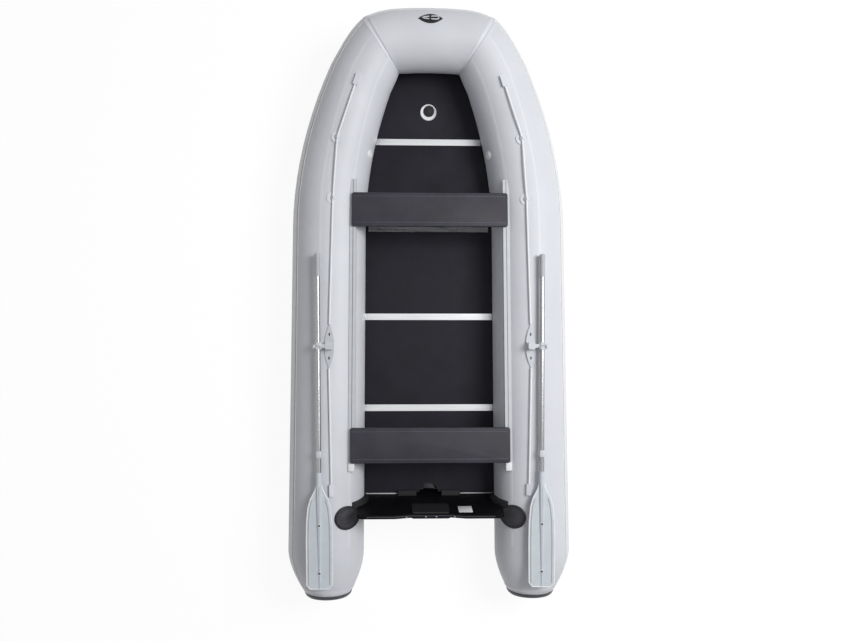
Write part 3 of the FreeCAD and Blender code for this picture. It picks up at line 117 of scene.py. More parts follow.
def new_material(name, tint, roughness, **sockets):
    """A material whose steady values stand on the shader's own sockets."""
    material = bpy.data.materials.new(name)
    material.use_nodes = True
    shader = material.node_tree.nodes["Principled BSDF"]
    shader.inputs["Base Color"].default_value = (*tint, 1)
    shader.inputs["Roughness"].default_value = roughness
    for socket, value in sockets.items():
        shader.inputs[socket.replace("_", " ")].default_value = value
    return material


def add_node(material, kind, **settings):
    node = material.node_tree.nodes.new(kind)
    for name, value in settings.items():
        setattr(node, name, value)
    return node


def link(material, source, target):
    material.node_tree.links.new(source, target)


def surface_place(material, scale=(1, 1, 1), turn=(0, 0, 0)):
    """Places on the surface in metres, stretched and turned for one pattern."""
    coordinates = add_node(material, "ShaderNodeTexCoord")
    mapping = add_node(material, "ShaderNodeMapping")
    mapping.inputs["Scale"].default_value = scale
    mapping.inputs["Rotation"].default_value = turn
    link(material, coordinates.outputs["Object"], mapping.inputs["Vector"])
    return mapping.outputs["Vector"]


def noise(material, scale, detail, stretch=(1, 1, 1)):
    texture = add_node(material, "ShaderNodeTexNoise")
    texture.inputs["Scale"].default_value = scale
    texture.inputs["Detail"].default_value = detail
    link(material, surface_place(material, stretch), texture.inputs["Vector"])
    return texture.outputs["Fac"]


WAVE_LENGTH = 0.314  # metres between two bands of a wave texture whose scale is 1
DIAGONAL_TURN = (0, 0, 0.785)
TURNED_OVER = (0, 3.14, 0)
WEAVE_PITCH = 0.0011
STRAND_PITCH = 0.0032
RAMP_PLACES = (0.35, 0.65)


def threads(material, pitch, direction, turn=(0, 0, 0)):
    """Parallel threads, a given pitch apart."""
    wave = add_node(material, "ShaderNodeTexWave", bands_direction=direction)
    wave.inputs["Scale"].default_value = WAVE_LENGTH / pitch
    link(material, surface_place(material, turn=turn), wave.inputs["Vector"])
    return wave.outputs["Fac"]


def ramp(material, source, low, high):
    node = add_node(material, "ShaderNodeValToRGB")
    for element, place, tint in zip(node.color_ramp.elements, RAMP_PLACES, (low, high)):
        element.position = place
        element.color = (*tint, 1)
    link(material, source, node.inputs["Fac"])
    return node.outputs["Color"]


def span(material, source, low, high):
    node = add_node(material, "ShaderNodeMapRange")
    node.inputs["To Min"].default_value = low
    node.inputs["To Max"].default_value = high
    link(material, source, node.inputs["Value"])
    return node.outputs["Result"]


def shade(tint, factor):
    return tuple(min(1, channel * factor) for channel in tint)


def vary_colour(material, tint, spread, scale, stretch=(1, 1, 1)):
    """Slightly darker and lighter places."""
    source = noise(material, scale, 5, stretch)
    shader = material.node_tree.nodes["Principled BSDF"]
    tints = ramp(material, source, shade(tint, 1 - spread), shade(tint, 1 + spread))
    link(material, tints, shader.inputs["Base Color"])


def vary_gloss(material, low, high, scale, stretch=(1, 1, 1)):
    shader = material.node_tree.nodes["Principled BSDF"]
    link(material, span(material, noise(material, scale, 3, stretch), low, high), shader.inputs["Roughness"])


def emboss(material, height, depth):
    """Adds one more layer of relief to the surface."""
    shader = material.node_tree.nodes["Principled BSDF"]
    bump = add_node(material, "ShaderNodeBump")
    bump.inputs["Distance"].default_value = depth
    link(material, height, bump.inputs["Height"])
    if shader.inputs["Normal"].links:
        link(material, shader.inputs["Normal"].links[0].from_socket, bump.inputs["Normal"])
    link(material, bump.outputs["Normal"], shader.inputs["Normal"])


def combine(material, first, second, operation):
    node = add_node(material, "ShaderNodeMath", operation=operation)
    link(material, first, node.inputs[0])
    link(material, second, node.inputs[1])
    return node.outputs["Value"]


def coated_fabric(name, tint):
    """Coated fabric: a fine weave under a smooth coat, with a few soft creases."""
    material = new_material(name, tint, 0.42, Specular_IOR_Level=0.35)
    vary_colour(material, tint, 0.025, 3.2)
    vary_gloss(material, 0.36, 0.5, 9)
    weave = combine(material, threads(material, WEAVE_PITCH, "X"), threads(material, WEAVE_PITCH, "Y"), "MAXIMUM")
    emboss(material, weave, 0.00008)
    emboss(material, noise(material, 7, 2), 0.004)
    return material


def moulded_rubber(name, tint, roughness=0.55, level=0.2, variation=0.12):
    """Rubber with a fine dull grain and slightly uneven colour."""
    material = new_material(name, tint, roughness, Specular_IOR_Level=level)
    vary_colour(material, tint, variation, 40)
    vary_gloss(material, roughness - 0.08, roughness + 0.1, 25)
    emboss(material, noise(material, 1100, 2), 0.0002)
    return material


def moulded_plastic(name, tint, roughness=0.38):
    """Plastic with a fine moulded grain."""
    material = new_material(name, tint, roughness, Specular_IOR_Level=0.45)
    vary_colour(material, tint, 0.03, 18)
    vary_gloss(material, roughness - 0.07, roughness + 0.08, 30)
    emboss(material, noise(material, 700, 2), 0.00012)
    return material


def coated_board(name, tint, pitch, depth, level=0.18, roughness=0.5):
    """Coated board with a fine non-slip grain and faint scuffs."""
    material = new_material(name, tint, roughness, Specular_IOR_Level=level)
    vary_colour(material, tint, 0.22, 5)
    vary_gloss(material, roughness - 0.1, roughness + 0.12, 6)
    grain = combine(material, threads(material, pitch, "X", DIAGONAL_TURN),
                    threads(material, pitch, "Y", DIAGONAL_TURN), "MULTIPLY")
    emboss(material, grain, depth)
    emboss(material, noise(material, 60, 4), 0.0006)
    return material


def drawn_metal(name, tint, stretch, roughness=0.28):
    """Drawn or brushed aluminium with fine lines along its length."""
    material = new_material(name, tint, roughness, Metallic=1.0)
    vary_colour(material, tint, 0.05, 30, stretch)
    vary_gloss(material, roughness - 0.08, roughness + 0.1, 90, stretch)
    emboss(material, noise(material, 500, 2, stretch), 0.00015)
    return material


def braided_rope(name, tint):
    """Braided line: crossing strands over a fine fibre grain."""
    material = new_material(name, tint, 0.7, Sheen_Weight=0.25, Sheen_Roughness=0.5)
    vary_colour(material, tint, 0.06, 250)
    strands = combine(material, threads(material, STRAND_PITCH, "DIAGONAL"),
                      threads(material, STRAND_PITCH, "DIAGONAL", TURNED_OVER), "MULTIPLY")
    emboss(material, strands, 0.0009)
    emboss(material, noise(material, 2600, 2), 0.0002)
    return material


finishes = {}


def make_finishes(tints):
    """Every finish of the boat, from the colours that a user can change."""
    finishes.update({
        "fabric": coated_fabric("tube_fabric", tints.fabric),
        "tape": coated_fabric("seam_tape", shade(tints.fabric, 1.07)),
        "cloth": coated_fabric("bottom_fabric", shade(tints.fabric, 0.82)),
        "strake": moulded_rubber("strake_rubber", tints.strake, 0.5, 0.4, 0.03),
        # A dark rubber painted where the strake's and the rails' grooves lie in shade
        "strake_dark": moulded_rubber("painted_groove_shade_rubber", shade(tints.strake, 0.22), 0.5, 0.3),
        "cap": moulded_rubber("cap_rubber", tints.cap, 0.42, 0.45),
        "floor": coated_board("floor_coating", tints.floor, 0.006, 0.0006),
        "seat": coated_board("seat_coating", tints.seat, 0.004, 0.0003, 0.3, 0.42),
        "transom": coated_board("transom_paint", tints.transom, 0.005, 0.0001, 0.06, 0.45),
        "rubber": moulded_rubber("black_rubber", tints.rubber, 0.5, 0.3),
        "pad": moulded_plastic("pad_plastic", shade(tints.rubber, 0.7), 0.5),
        "joiner": drawn_metal("joiner_aluminium", shade(tints.aluminium, 0.8), (0.05, 1, 1)),
        "shaft": drawn_metal("shaft_aluminium", shade(tints.aluminium, 0.4), (1, 0.05, 1), 0.24),
        "steel": drawn_metal("polished_steel", shade(tints.aluminium, 0.85), (1, 1, 1), 0.18),
        "plastic": moulded_plastic("light_plastic", tints.plastic),
        "rail": moulded_plastic("rail_plastic", shade(tints.plastic, 0.95), 0.34),
        "blade": moulded_plastic("blade_plastic", tints.blade, 0.34),
        "grip": moulded_plastic("grip_plastic", tints.grip, 0.5),
        "rope": braided_rope("rope_braid", tints.rope),
        "white": moulded_plastic("white_plastic", (0.83, 0.84, 0.85), 0.35),
        # A dark fabric painted for the bottom cloth's inner side and the keel, which lie in shade under the floor
        "under_floor_shade": coated_fabric("bottom_lining", shade(tints.rubber, 2.5)),
        # Lighter strips painted as the highlight along the seats' rolled long edges
        "seat_edge_highlight": moulded_rubber("seat_edge_highlight", shade(tints.seat, 3.2), 0.5, 0.3),
        "pad_face": moulded_rubber("pad_face", shade(tints.rubber, 4)),
        # Whiter than the blade: the rims' own plastic, with a painted highlight along them
        "blade_rim_and_highlight": moulded_plastic("blade_rim_and_highlight", (0.85, 0.87, 0.89), 0.3),
    })


# Modelling helpers

def outline(bm, corners, closed=True):
    """A few corners joined in a row."""
    verts = [bm.verts.new((x, y, 0)) for x, y in corners]
    return [bm.edges.new(pair) for pair in zip(verts, verts[1:] + verts[:1] if closed else verts[1:])]


def edges_at(verts):
    """The edges that touch some vertices, in an order that is the same each run."""
    return list(dict.fromkeys(edge for vert in verts for edge in vert.link_edges))


def circle(bm, segments):
    """A closed ring of unit radius."""
    return edges_at(bmesh.ops.create_circle(bm, segments=segments, radius=1)["verts"])


def loft(bm, loop, places, close=True):
    """Draws an outline on through a row of places, each a matrix for the outline's plane."""
    verts = list({vert for edge in loop for vert in edge.verts})
    bmesh.ops.transform(bm, matrix=places[0], verts=verts)
    first = loop
    for before, after in zip(places, places[1:]):
        grown = bmesh.ops.extrude_edge_only(bm, edges=loop)["geom"]
        verts = [item for item in grown if isinstance(item, bmesh.types.BMVert)]
        fresh = set(verts)
        loop = [item for item in grown if isinstance(item, bmesh.types.BMEdge) and fresh.issuperset(item.verts)]
        bmesh.ops.transform(bm, matrix=after @ before.inverted(), verts=verts)
    if close:
        bmesh.ops.contextual_create(bm, geom=first)
        bmesh.ops.contextual_create(bm, geom=loop)
    return loop


def built_since(bm, known):
    """The vertices that weren't there yet."""
    return [vert for vert in bm.verts if vert not in known]


def spun(bm, profile, place, steps):
    """Turns a profile of radii and heights about an axis that stands at a place."""
    known = set(bm.verts)
    verts = [bm.verts.new((radius, 0, height)) for radius, height in profile]
    edges = [bm.edges.new(pair) for pair in zip(verts, verts[1:])]
    bmesh.ops.spin(bm, geom=verts + edges, cent=(0, 0, 0), axis=(0, 0, 1), angle=math.tau, steps=steps, use_merge=True)
    bmesh.ops.transform(bm, matrix=place, verts=built_since(bm, known))
    bmesh.ops.remove_doubles(bm, verts=built_since(bm, known), dist=0.00002)


def rounded(bm, edges, radius, segments):
    """Rounds edges off."""
    bmesh.ops.bevel(bm, geom=edges, offset=radius, offset_type="OFFSET", segments=segments, profile=0.5,
                    affect="EDGES", material=-1)


def block(bm, low, high, radius=0.0, segments=3, place=Matrix()):
    """A block between two corners, its edges rounded."""
    low = Vector(low)
    high = Vector(high)
    stretch = Matrix.Diagonal((*(high - low), 1))
    made = bmesh.ops.create_cube(bm, size=1, matrix=place @ Matrix.Translation((low + high) / 2) @ stretch)
    if radius:
        rounded(bm, edges_at(made["verts"]), radius, segments)


def toward(point, direction, level=UP):
    """A place at a point whose own z runs along a direction."""
    z_axis = Vector(direction).normalized()
    x_axis = Vector(level).cross(z_axis)
    if x_axis.length < 0.001:
        x_axis = Vector((1, 0, 0))
    x_axis.normalize()
    y_axis = z_axis.cross(x_axis)
    return Matrix.Translation(point) @ Matrix((x_axis, y_axis, z_axis)).transposed().to_4x4()


def piece(name, bm, body, slot, finish, nodes=(), crease=35, side=1):
    """Makes one finished object of a mesh and lets it ride on its body."""
    if side < 0:
        bmesh.ops.transform(bm, matrix=PORT, verts=bm.verts)
    bmesh.ops.recalc_face_normals(bm, faces=bm.faces)
    mesh = bpy.data.meshes.new(name)
    bm.to_mesh(mesh)
    bm.free()
    mesh.materials.append(finishes[finish])
    mesh.shade_smooth()
    mesh.set_sharp_from_angle(angle=math.radians(crease))
    made = bpy.data.objects.new(name, mesh)
    bpy.context.scene.collection.objects.link(made)
    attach(made, body)
    if nodes:
        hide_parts(*nodes)
    return made


def dress(finish, *nodes):
    """Gives carried-over pieces their finish."""
    for node in nodes:
        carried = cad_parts[node]
        if not carried.material_slots:
            carried.data.materials.append(finishes[finish])
        for slot in carried.material_slots:
            slot.material = finishes[finish]


def single(build, name, body, slot, finish, nodes=(), **more):
    """Builds one piece that has no mirror image."""
    bm = bmesh.new()
    build(bm)
    piece(name, bm, body, slot, finish, nodes, **more)


def both_sides(build, name, body, slot, finish, nodes=(), **more):
    """Builds a starboard piece and its mirror image."""
    for label, side in (("starboard", 1), ("port", -1)):
        bm = bmesh.new()
        build(bm)
        own_body = body.format(label)
        own_nodes = [node.format(label) for node in nodes]
        piece(f"{name}_{label}", bm, own_body, slot, finish, own_nodes, side=side, **more)


# The hull's lines, in metres

TUBE_SEGMENTS = 72
FULL_RADIUS = 0.24
CORNER_REACH = 0.16  # how far from a bow corner its sections begin to lean
CORNER_DRAWN = 0.048  # how far the outer side is drawn in at a corner
CORNER_SOFTNESS = 2.4
CORNER_STEPS = (0.13, 0.1, 0.07, 0.045, 0.022, 0.0)
TAIL_STEPS = (1.0, 0.88, 0.74, 0.6, 0.45, 0.3, 0.15, 0.0)
TAIL_ROUNDING = 1.7
TAIL_RUN = 0.25  # from the cone's start to the first section of the straight run
BEND_STEPS = 10
BOW_SHARES = (0.3, 0)
STEP_ALONG = 0.005
SUNK = -0.004  # under the fabric, so that no gap shows
TAPE_SUNK = -0.003


def tube_middle(hull, y):
    """Middle of the starboard tube at y and its radius."""
    past = max(0.0, min(y, hull.bend_end) - hull.bend_start)
    heading = math.asin(past / hull.bend_radius)
    x = hull.tube_offset - hull.bend_radius * (1 - math.cos(heading))
    if y > hull.bend_end:
        x -= (y - hull.bend_end) * math.tan(hull.corner_heading)
    bow_share = max(0.0, y - hull.bend_start) / (hull.bow_y - hull.bend_start)
    radius = hull.tube_radius - (hull.tube_radius - hull.bow_radius) * bow_share ** 2
    rise_share = max(0.0, y - hull.sheer_start) / (hull.bow_y - hull.sheer_start)
    return Vector((x, y, hull.tube_radius + hull.sheer_height * rise_share ** 2)), radius


def tube_station(hull, y):
    """Middle, radius and heading of the starboard tube at y."""
    middle, radius = tube_middle(hull, y)
    return middle, radius, tube_middle(hull, y + STEP_ALONG)[0] - tube_middle(hull, y - STEP_ALONG)[0]


def bow_station(hull, share):
    """Middle, radius and heading of the bow tube, at a share of its way out to the starboard corner."""
    corner, radius = tube_middle(hull, hull.bow_y - hull.bow_set_back)
    crown = Vector((0, hull.bow_y, hull.tube_radius + hull.sheer_height))
    middle = crown + Vector((corner.x * share, (corner.y - crown.y) * share ** 2, (corner.z - crown.z) * share ** 2))
    way = Vector((-corner.x, -2 * (corner.y - crown.y) * share, -2 * (corner.z - crown.z) * share))
    return middle, hull.bow_radius + (radius - hull.bow_radius) * share ** 2, way


def section_place(middle, radius, heading, cut=None, drawn=0.0):
    """A round section across a tube.

    A cut is the normal of the plane that the section leans into. The outer side can be drawn in."""
    heading = heading.normalized()
    outward = heading.cross(UP).normalized()
    upward = outward.cross(heading)
    if cut:
        lean = heading.dot(cut)
        outward = outward - heading * (outward.dot(cut) / lean)
        upward = upward - heading * (upward.dot(cut) / lean)
    pull = outward.normalized() * (drawn / 2)
    across = outward * radius - pull
    axes = Matrix((across, upward * radius, heading * radius)).transposed().to_4x4()
    return Matrix.Translation(middle - pull) @ axes


def corner_place(hull, back, extra=0.0):
    """A section a distance before the starboard bow corner, or past it where the distance is negative."""
    corner_y = hull.bow_y - hull.bow_set_back
    corner = tube_middle(hull, corner_y)[0]
    before = (corner - tube_middle(hull, hull.bend_end)[0]).normalized()
    after = (bow_station(hull, 0)[0] - corner).normalized()
    if back >= 0:
        middle, radius, way = tube_station(hull, corner_y - back * math.cos(hull.corner_heading))
    else:
        middle, radius, way = bow_station(hull, 1 + back / corner.x)
    way.normalize()
    share = 1 - abs(back) / CORNER_REACH
    cut = way.lerp((before + after).normalized(), share).normalized()
    return section_place(middle, radius + extra, way, cut, CORNER_DRAWN * share ** CORNER_SOFTNESS)


def side_places(hull, start=None):
    """Sections of the starboard tube from its tail, or from a place along it, to the bow corner."""
    places = []
    if start is None:
        start = hull.cone_start + TAIL_RUN
        middle, radius = tube_middle(hull, hull.cone_start)
        for share in TAIL_STEPS:
            shift = Vector((-hull.cone_shift, -hull.cone_length, hull.cone_lift)) * share
            local = radius - (radius - hull.cap_radius) * share ** TAIL_ROUNDING
            places.append(section_place(middle + shift, local, Vector((0, 1, 0))))
    stops = [start, 0.0]
    bend = hull.bend_end - hull.bend_start
    stops += [hull.bend_start + bend * step / BEND_STEPS for step in range(BEND_STEPS + 1)]
    places += [section_place(*tube_station(hull, y)) for y in stops]
    return places + [corner_place(hull, back) for back in CORNER_STEPS]


def bow_places(hull):
    """Sections of the bow tube from the starboard corner to the port one."""
    half = [corner_place(hull, -back) for back in reversed(CORNER_STEPS)]
    half += [section_place(*bow_station(hull, share)) for share in BOW_SHARES]
    return half + [PORT @ place for place in reversed(half[:-1])]


def on_tube(hull, x, y, height=0.0):
    """The place above a point of the starboard tube's upper side, and which way the tube faces there."""
    middle, radius, way = tube_station(hull, y)
    way.normalize()
    outward = way.cross(UP).normalized()
    across = (x - middle.x) * outward.x
    rise = math.sqrt(radius ** 2 - across ** 2)
    normal = (outward * across + UP * rise).normalized()
    return Vector((x, y, middle.z + rise)) + normal * height, normal


def band(bm, rows, places):
    """A strip that lies along a tube.

    Its rows are distances up round the full tube from its widest line, and heights above the fabric."""
    corners = []
    for arc, high in rows:
        reach = 1 + high / FULL_RADIUS
        corners.append((reach * math.cos(arc / FULL_RADIUS), reach * math.sin(arc / FULL_RADIUS)))
    loft(bm, outline(bm, corners), places)


def tape_rows(middle, half, thickness):
    """Rows of a plain tape about a middle line."""
    steps = [middle + half * share for share in (-1, -0.5, 0, 0.5, 1)]
    return [(arc, thickness) for arc in steps] + [(arc, TAPE_SUNK) for arc in reversed(steps)]


def rod(bm, points, radius, segments=12, level=UP, closed=False):
    """A round rod that runs through a row of points."""
    points = [Vector(point) for point in points]
    before = points[-1:] + points[:-1] if closed else points[:1] + points[:-1]
    after = points[1:] + points[:1] if closed else points[1:] + points[-1:]
    places = [toward(point, last - first, level) @ Matrix.Scale(radius, 4)
              for first, point, last in zip(before, points, after)]
    known = set(bm.verts)
    loft(bm, circle(bm, segments), places + places[:1] if closed else places, close=not closed)
    if closed:
        bmesh.ops.remove_doubles(bm, verts=built_since(bm, known), dist=0.00001)


# Operators, one for each piece or group of like pieces

class BOAT_OT_finishes(bpy.types.Operator):
    """Makes the finishes"""
    bl_idname = "boat.finishes"
    bl_label = "Finishes"

    def execute(self, context):
        make_finishes(context.scene.boat_finish)
        return {"FINISHED"}


# Distance from the corner and height above the fabric
CORNER_TAPE = (
    (0.021, -0.002), (0.021, 0.0014), (0.004, 0.0017), (0.003, 0.0006),
    (-0.003, 0.0006), (-0.004, 0.0017), (-0.021, 0.0014), (-0.021, -0.002),
)
# Distance round the tube, half width and thickness
LONG_SEAMS = ((0.545, 0.011, 0.0007), (0.335, 0.009, 0.0006))
SEAM_START = -1.6


class BOAT_OT_tubes(bpy.types.Operator):
    """Builds the side tubes, the bow tube and their seam tapes"""
    bl_idname = "boat.tubes"
    bl_label = "Air tubes"

    def execute(self, context):
        hull = context.scene.boat_hull
        both_sides(lambda bm: loft(bm, circle(bm, TUBE_SEGMENTS), side_places(hull)),
                   "side_tube", "hull", "tube_fabric", "fabric", ["tube_{}"], crease=50)
        single(lambda bm: loft(bm, circle(bm, TUBE_SEGMENTS), bow_places(hull)),
               "bow_tube", "hull", "tube_fabric", "fabric", ["tube_bow"], crease=50)

        def corner_tape(bm):
            rows = [corner_place(hull, back, height) for back, height in CORNER_TAPE]
            loft(bm, circle(bm, TUBE_SEGMENTS), rows, close=False)

        def seam(bm):
            for middle, half, thickness in LONG_SEAMS:
                band(bm, tape_rows(middle, half, thickness), side_places(hull, SEAM_START))

        def cone_tape(bm):
            tail = side_places(hull)[:3]
            ends = [tail[0].lerp(tail[1], 0.7), tail[1], tail[1].lerp(tail[2], 0.4)]
            raised = Matrix.Diagonal((1.012, 1.012, 1, 1))
            sunk = Matrix.Diagonal((0.98, 0.98, 1, 1))
            places = [ends[0] @ sunk] + [end @ raised for end in ends] + [ends[2] @ sunk]
            loft(bm, circle(bm, TUBE_SEGMENTS), places, close=False)

        for build, name in ((corner_tape, "corner_tape"), (seam, "long_seam"), (cone_tape, "tail_tape")):
            both_sides(build, name, "hull", "tube_fabric", "tape", crease=60)
        return {"FINISHED"}


class BOAT_OT_end_caps(bpy.types.Operator):
    """Builds the rubber caps on the tail cones"""
    bl_idname = "boat.end_caps"
    bl_label = "End caps"

    def execute(self, context):
        hull = context.scene.boat_hull
        radius = hull.cap_radius
        depth = hull.cap_depth
        middle = tube_middle(hull, hull.cone_start)[0]
        middle += Vector((-hull.cone_shift, -hull.cone_length, hull.cone_lift))

        def cap(bm):
            profile = [(0, -0.018), (radius * 0.95, -0.018), (radius + 0.001, -0.0085), (radius + 0.0085, -0.008),
                       (radius + 0.009, -0.006), (radius + 0.005, 0.0015), (radius + 0.003, depth * 0.15),
                       (radius, depth * 0.32), (radius * 0.93, depth * 0.58), (radius * 0.8, depth * 0.76),
                       (radius * 0.6, depth * 0.89), (radius * 0.3, depth * 0.97), (0, depth)]
            spun(bm, profile, toward(middle, (0, -1, 0)), TUBE_SEGMENTS)

        both_sides(cap, "end_cap", "hull", "cap_rubber", "cap", crease=40)
        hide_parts("end_caps")
        return {"FINISHED"}


# Rows of distances round the tube and heights above it
STRAKE_HALF = [
    (0.0, 0.0095), (0.0035, 0.0095), (0.0055, 0.012), (0.014, 0.012), (0.024, 0.0105), (0.032, 0.0072), (0.04, 0.0056),
    (0.055, 0.0042), (0.056, 0.0005), (0.056, SUNK),
]
BAND_ROWS = [
    (0.0635, SUNK), (0.0635, 0.0034), (0.066, 0.0042), (0.095, 0.0036), (0.128, 0.0034), (0.13, 0.0008),
    (0.136, 0.0008), (0.138, 0.0028), (0.148, 0.0022), (0.149, SUNK), (0.12, SUNK), (0.09, SUNK),
]
# Distance round the tube, height and half width of the dark lines, painted shade of the strake's grooves
STRAKE_SHADE_LINES = ((0.0598, 0.0016, 0.0036), (0.133, 0.0018, 0.0036))
LINE_SUNK = -0.002
BAND_RISE = math.radians(7)  # how far the band has climbed round the tube at the bow


def risen(hull, places):
    """The same sections, turned so that what lies on them climbs towards the bow."""
    turned = []
    for place in places:
        share = max(0.0, place.translation.y - hull.bend_start) / (hull.bow_y - hull.bend_start)
        turned.append(place @ Matrix.Rotation(BAND_RISE * share ** 2, 4, "Z"))
    return turned


class BOAT_OT_strakes(bpy.types.Operator):
    """Builds the ribbed rub strake round the tubes and the band above it, with dark lines painted as the shade in their
    grooves
    """
    bl_idname = "boat.strakes"
    bl_label = "Rub strakes"

    def execute(self, context):
        hull = context.scene.boat_hull
        rows = [(-arc, high) for arc, high in reversed(STRAKE_HALF)] + STRAKE_HALF[1:]
        rows += [(arc, SUNK) for arc in (0.03, 0, -0.03)]

        # Dark strips painted as the shade in the strake's grooves
        def lines(bm, places):
            for arc, high, half in STRAKE_SHADE_LINES:
                band(bm, [(arc - half, high), (arc + half, high), (arc + half, LINE_SUNK), (arc - half, LINE_SUNK)],
                     places)

        for make, ending, places, nodes in ((both_sides, "", side_places(hull), ["rub_strake_{}"]),
                                            (single, "_front", bow_places(hull), ["rub_strake_bow"])):
            upper = risen(hull, places)
            for name, finish, build, replaced in (
                    ("rub_strake", "strake", lambda bm: band(bm, rows, places), nodes),
                    ("strake_band", "strake", lambda bm: band(bm, BAND_ROWS, upper), []),
                    ("strake_groove", "strake_dark", lambda bm: lines(bm, upper), [])):
                make(build, name + ending, "hull", "strake_rubber", finish, replaced, crease=30)
        return {"FINISHED"}


# Distance along the boat, half width, height of the sides and height of the middle
CLOTH_ROWS = [
    (-1.33, 0.5349, 0.0434, 0.008), (0.5, 0.5349, 0.0434, 0.008), (0.7, 0.5389, 0.0448, 0.0081),
    (0.9, 0.5235, 0.0515, 0.0116), (1.1, 0.4966, 0.0693, 0.0246), (1.3, 0.4476, 0.1004, 0.0536),
    (1.5, 0.3814, 0.1497, 0.105), (1.718, 0.2565, 0.2227, 0.1931), (1.734, 0.1, 0.202, 0.202),
]
CLOTH_LIFT = 0.0025
CLOTH_THICKNESS = 0.0024
CLOTH_SHARES = (-1, -0.72, -0.42, -0.18, 0, 0.18, 0.42, 0.72, 1)
CLOTH_SAG = 1.1
# Distance along the boat, half width, half height and height of the middle
KEEL_ROWS = [
    (-1.29, 0.0378, 0.0220275, 0.06275), (-1.266, 0.0672, 0.03916, 0.06275), (-1.278, 0.084, 0.04895, 0.06275),
    (0.5, 0.084, 0.04895, 0.06275), (0.7, 0.084, 0.0489, 0.0628), (0.9, 0.084, 0.04715, 0.06455),
    (1.165, 0.084, 0.03605, 0.07565), (1.3, 0.084, 0.03925, 0.09865), (1.5, 0.084, 0.033, 0.1438),
    (1.554, 0.08064, 0.023472, 0.16465), (1.576, 0.063, 0.0183375, 0.16865), (1.584, 0.0336, 0.00978, 0.16865),
]


def across_boat(y, half, tall, middle):
    """A place whose plane stands across the boat, stretched to a half width and a height."""
    return Matrix(((half, 0, 0, 0), (0, 0, 1, y), (0, tall, 0, middle), (0, 0, 0, 1)))


class BOAT_OT_bottom(bpy.types.Operator):
    """Builds the bottom cloth and the inflatable keel"""
    bl_idname = "boat.bottom"
    bl_label = "Bottom"

    def execute(self, context):
        places = [across_boat(y, half, high - low, low + CLOTH_LIFT) for y, half, high, low in CLOTH_ROWS]
        bm = bmesh.new()
        curve = outline(bm, [(share, abs(share) ** CLOTH_SAG) for share in CLOTH_SHARES], closed=False)
        loft(bm, curve, places, close=False)
        cloth = piece("bottom_cloth", bm, "hull", "bottom_fabric", "cloth", ["bottom_skin"], crease=60)
        # The cloth's inner side gets the dark fabric painted as the shade under the floor
        cloth.data.materials.append(finishes["under_floor_shade"])
        wall = cloth.modifiers.new("cloth", "SOLIDIFY")
        wall.thickness = CLOTH_THICKNESS
        wall.offset = 0
        wall.material_offset = 1

        keel = [across_boat(*row) for row in KEEL_ROWS]
        # The keel gets the same dark fabric, painted as the shade under the floor
        single(lambda bm: loft(bm, circle(bm, 40), keel),
               "inflatable_keel", "hull", "bottom_fabric", "under_floor_shade", ["keel_tube"], crease=60)
        dress("strake", "keel_guard")
        return {"FINISHED"}


NOTCH_MIDDLE = Vector((0, -1.302, 0.1292))
NOTCH_RADIUS = 0.066
BOW_BOARD_SLOPE = Vector((0, 0.489, 0.095)).normalized()
VALVE_HOLE = (0, 1.34, 0.164)
VALVE_MIDDLE = (0.003, 1.3485, 0.16)


class BOAT_OT_floor(bpy.types.Operator):
    """Finishes the floor boards and joiners, and builds the rims of the notch and the valve's hole"""
    bl_idname = "boat.floor"
    bl_label = "Floor"

    def execute(self, context):
        dress("floor", "floor_boards_mid", "floor_board_aft", "floor_board_bow")
        dress("joiner", "floor_joiners")
        normal = Vector((1, 0, 0)).cross(BOW_BOARD_SLOPE)

        def notch_rim(bm):
            points = []
            for angle in range(0, 181, 6):
                turn = math.radians(angle)
                points.append(NOTCH_MIDDLE + Vector((NOTCH_RADIUS * math.cos(turn), NOTCH_RADIUS * math.sin(turn), 0)))
            rod(bm, points, 0.0016)

        def hole_rim(bm):
            spun(bm, [(0, -0.006), (0.0485, -0.006), (0.0505, 0.001), (0.0545, 0.0016), (0.0562, 0.0),
                      (0.0562, -0.012), (0, -0.012)], toward(VALVE_HOLE, normal, BOW_BOARD_SLOPE), 64)

        def valve(bm):
            spun(bm, [(0, -0.02), (0.036, -0.02), (0.0385, -0.012), (0.0385, 0.003), (0.036, 0.0055), (0.032, 0.006),
                      (0.03, 0.003), (0.021, 0.003), (0.019, 0.007), (0.01, 0.008), (0, 0.008)],
                 toward(VALVE_MIDDLE, normal, BOW_BOARD_SLOPE), 48)

        single(notch_rim, "notch_rim", "hull", "floor_board", "pad")
        single(hole_rim, "valve_hole_rim", "hull", "floor_board", "white")
        single(valve, "keel_valve_body", "hull", "valve_plastic", "rubber", ["keel_valve"])
        return {"FINISHED"}


NEAR = 0.0001


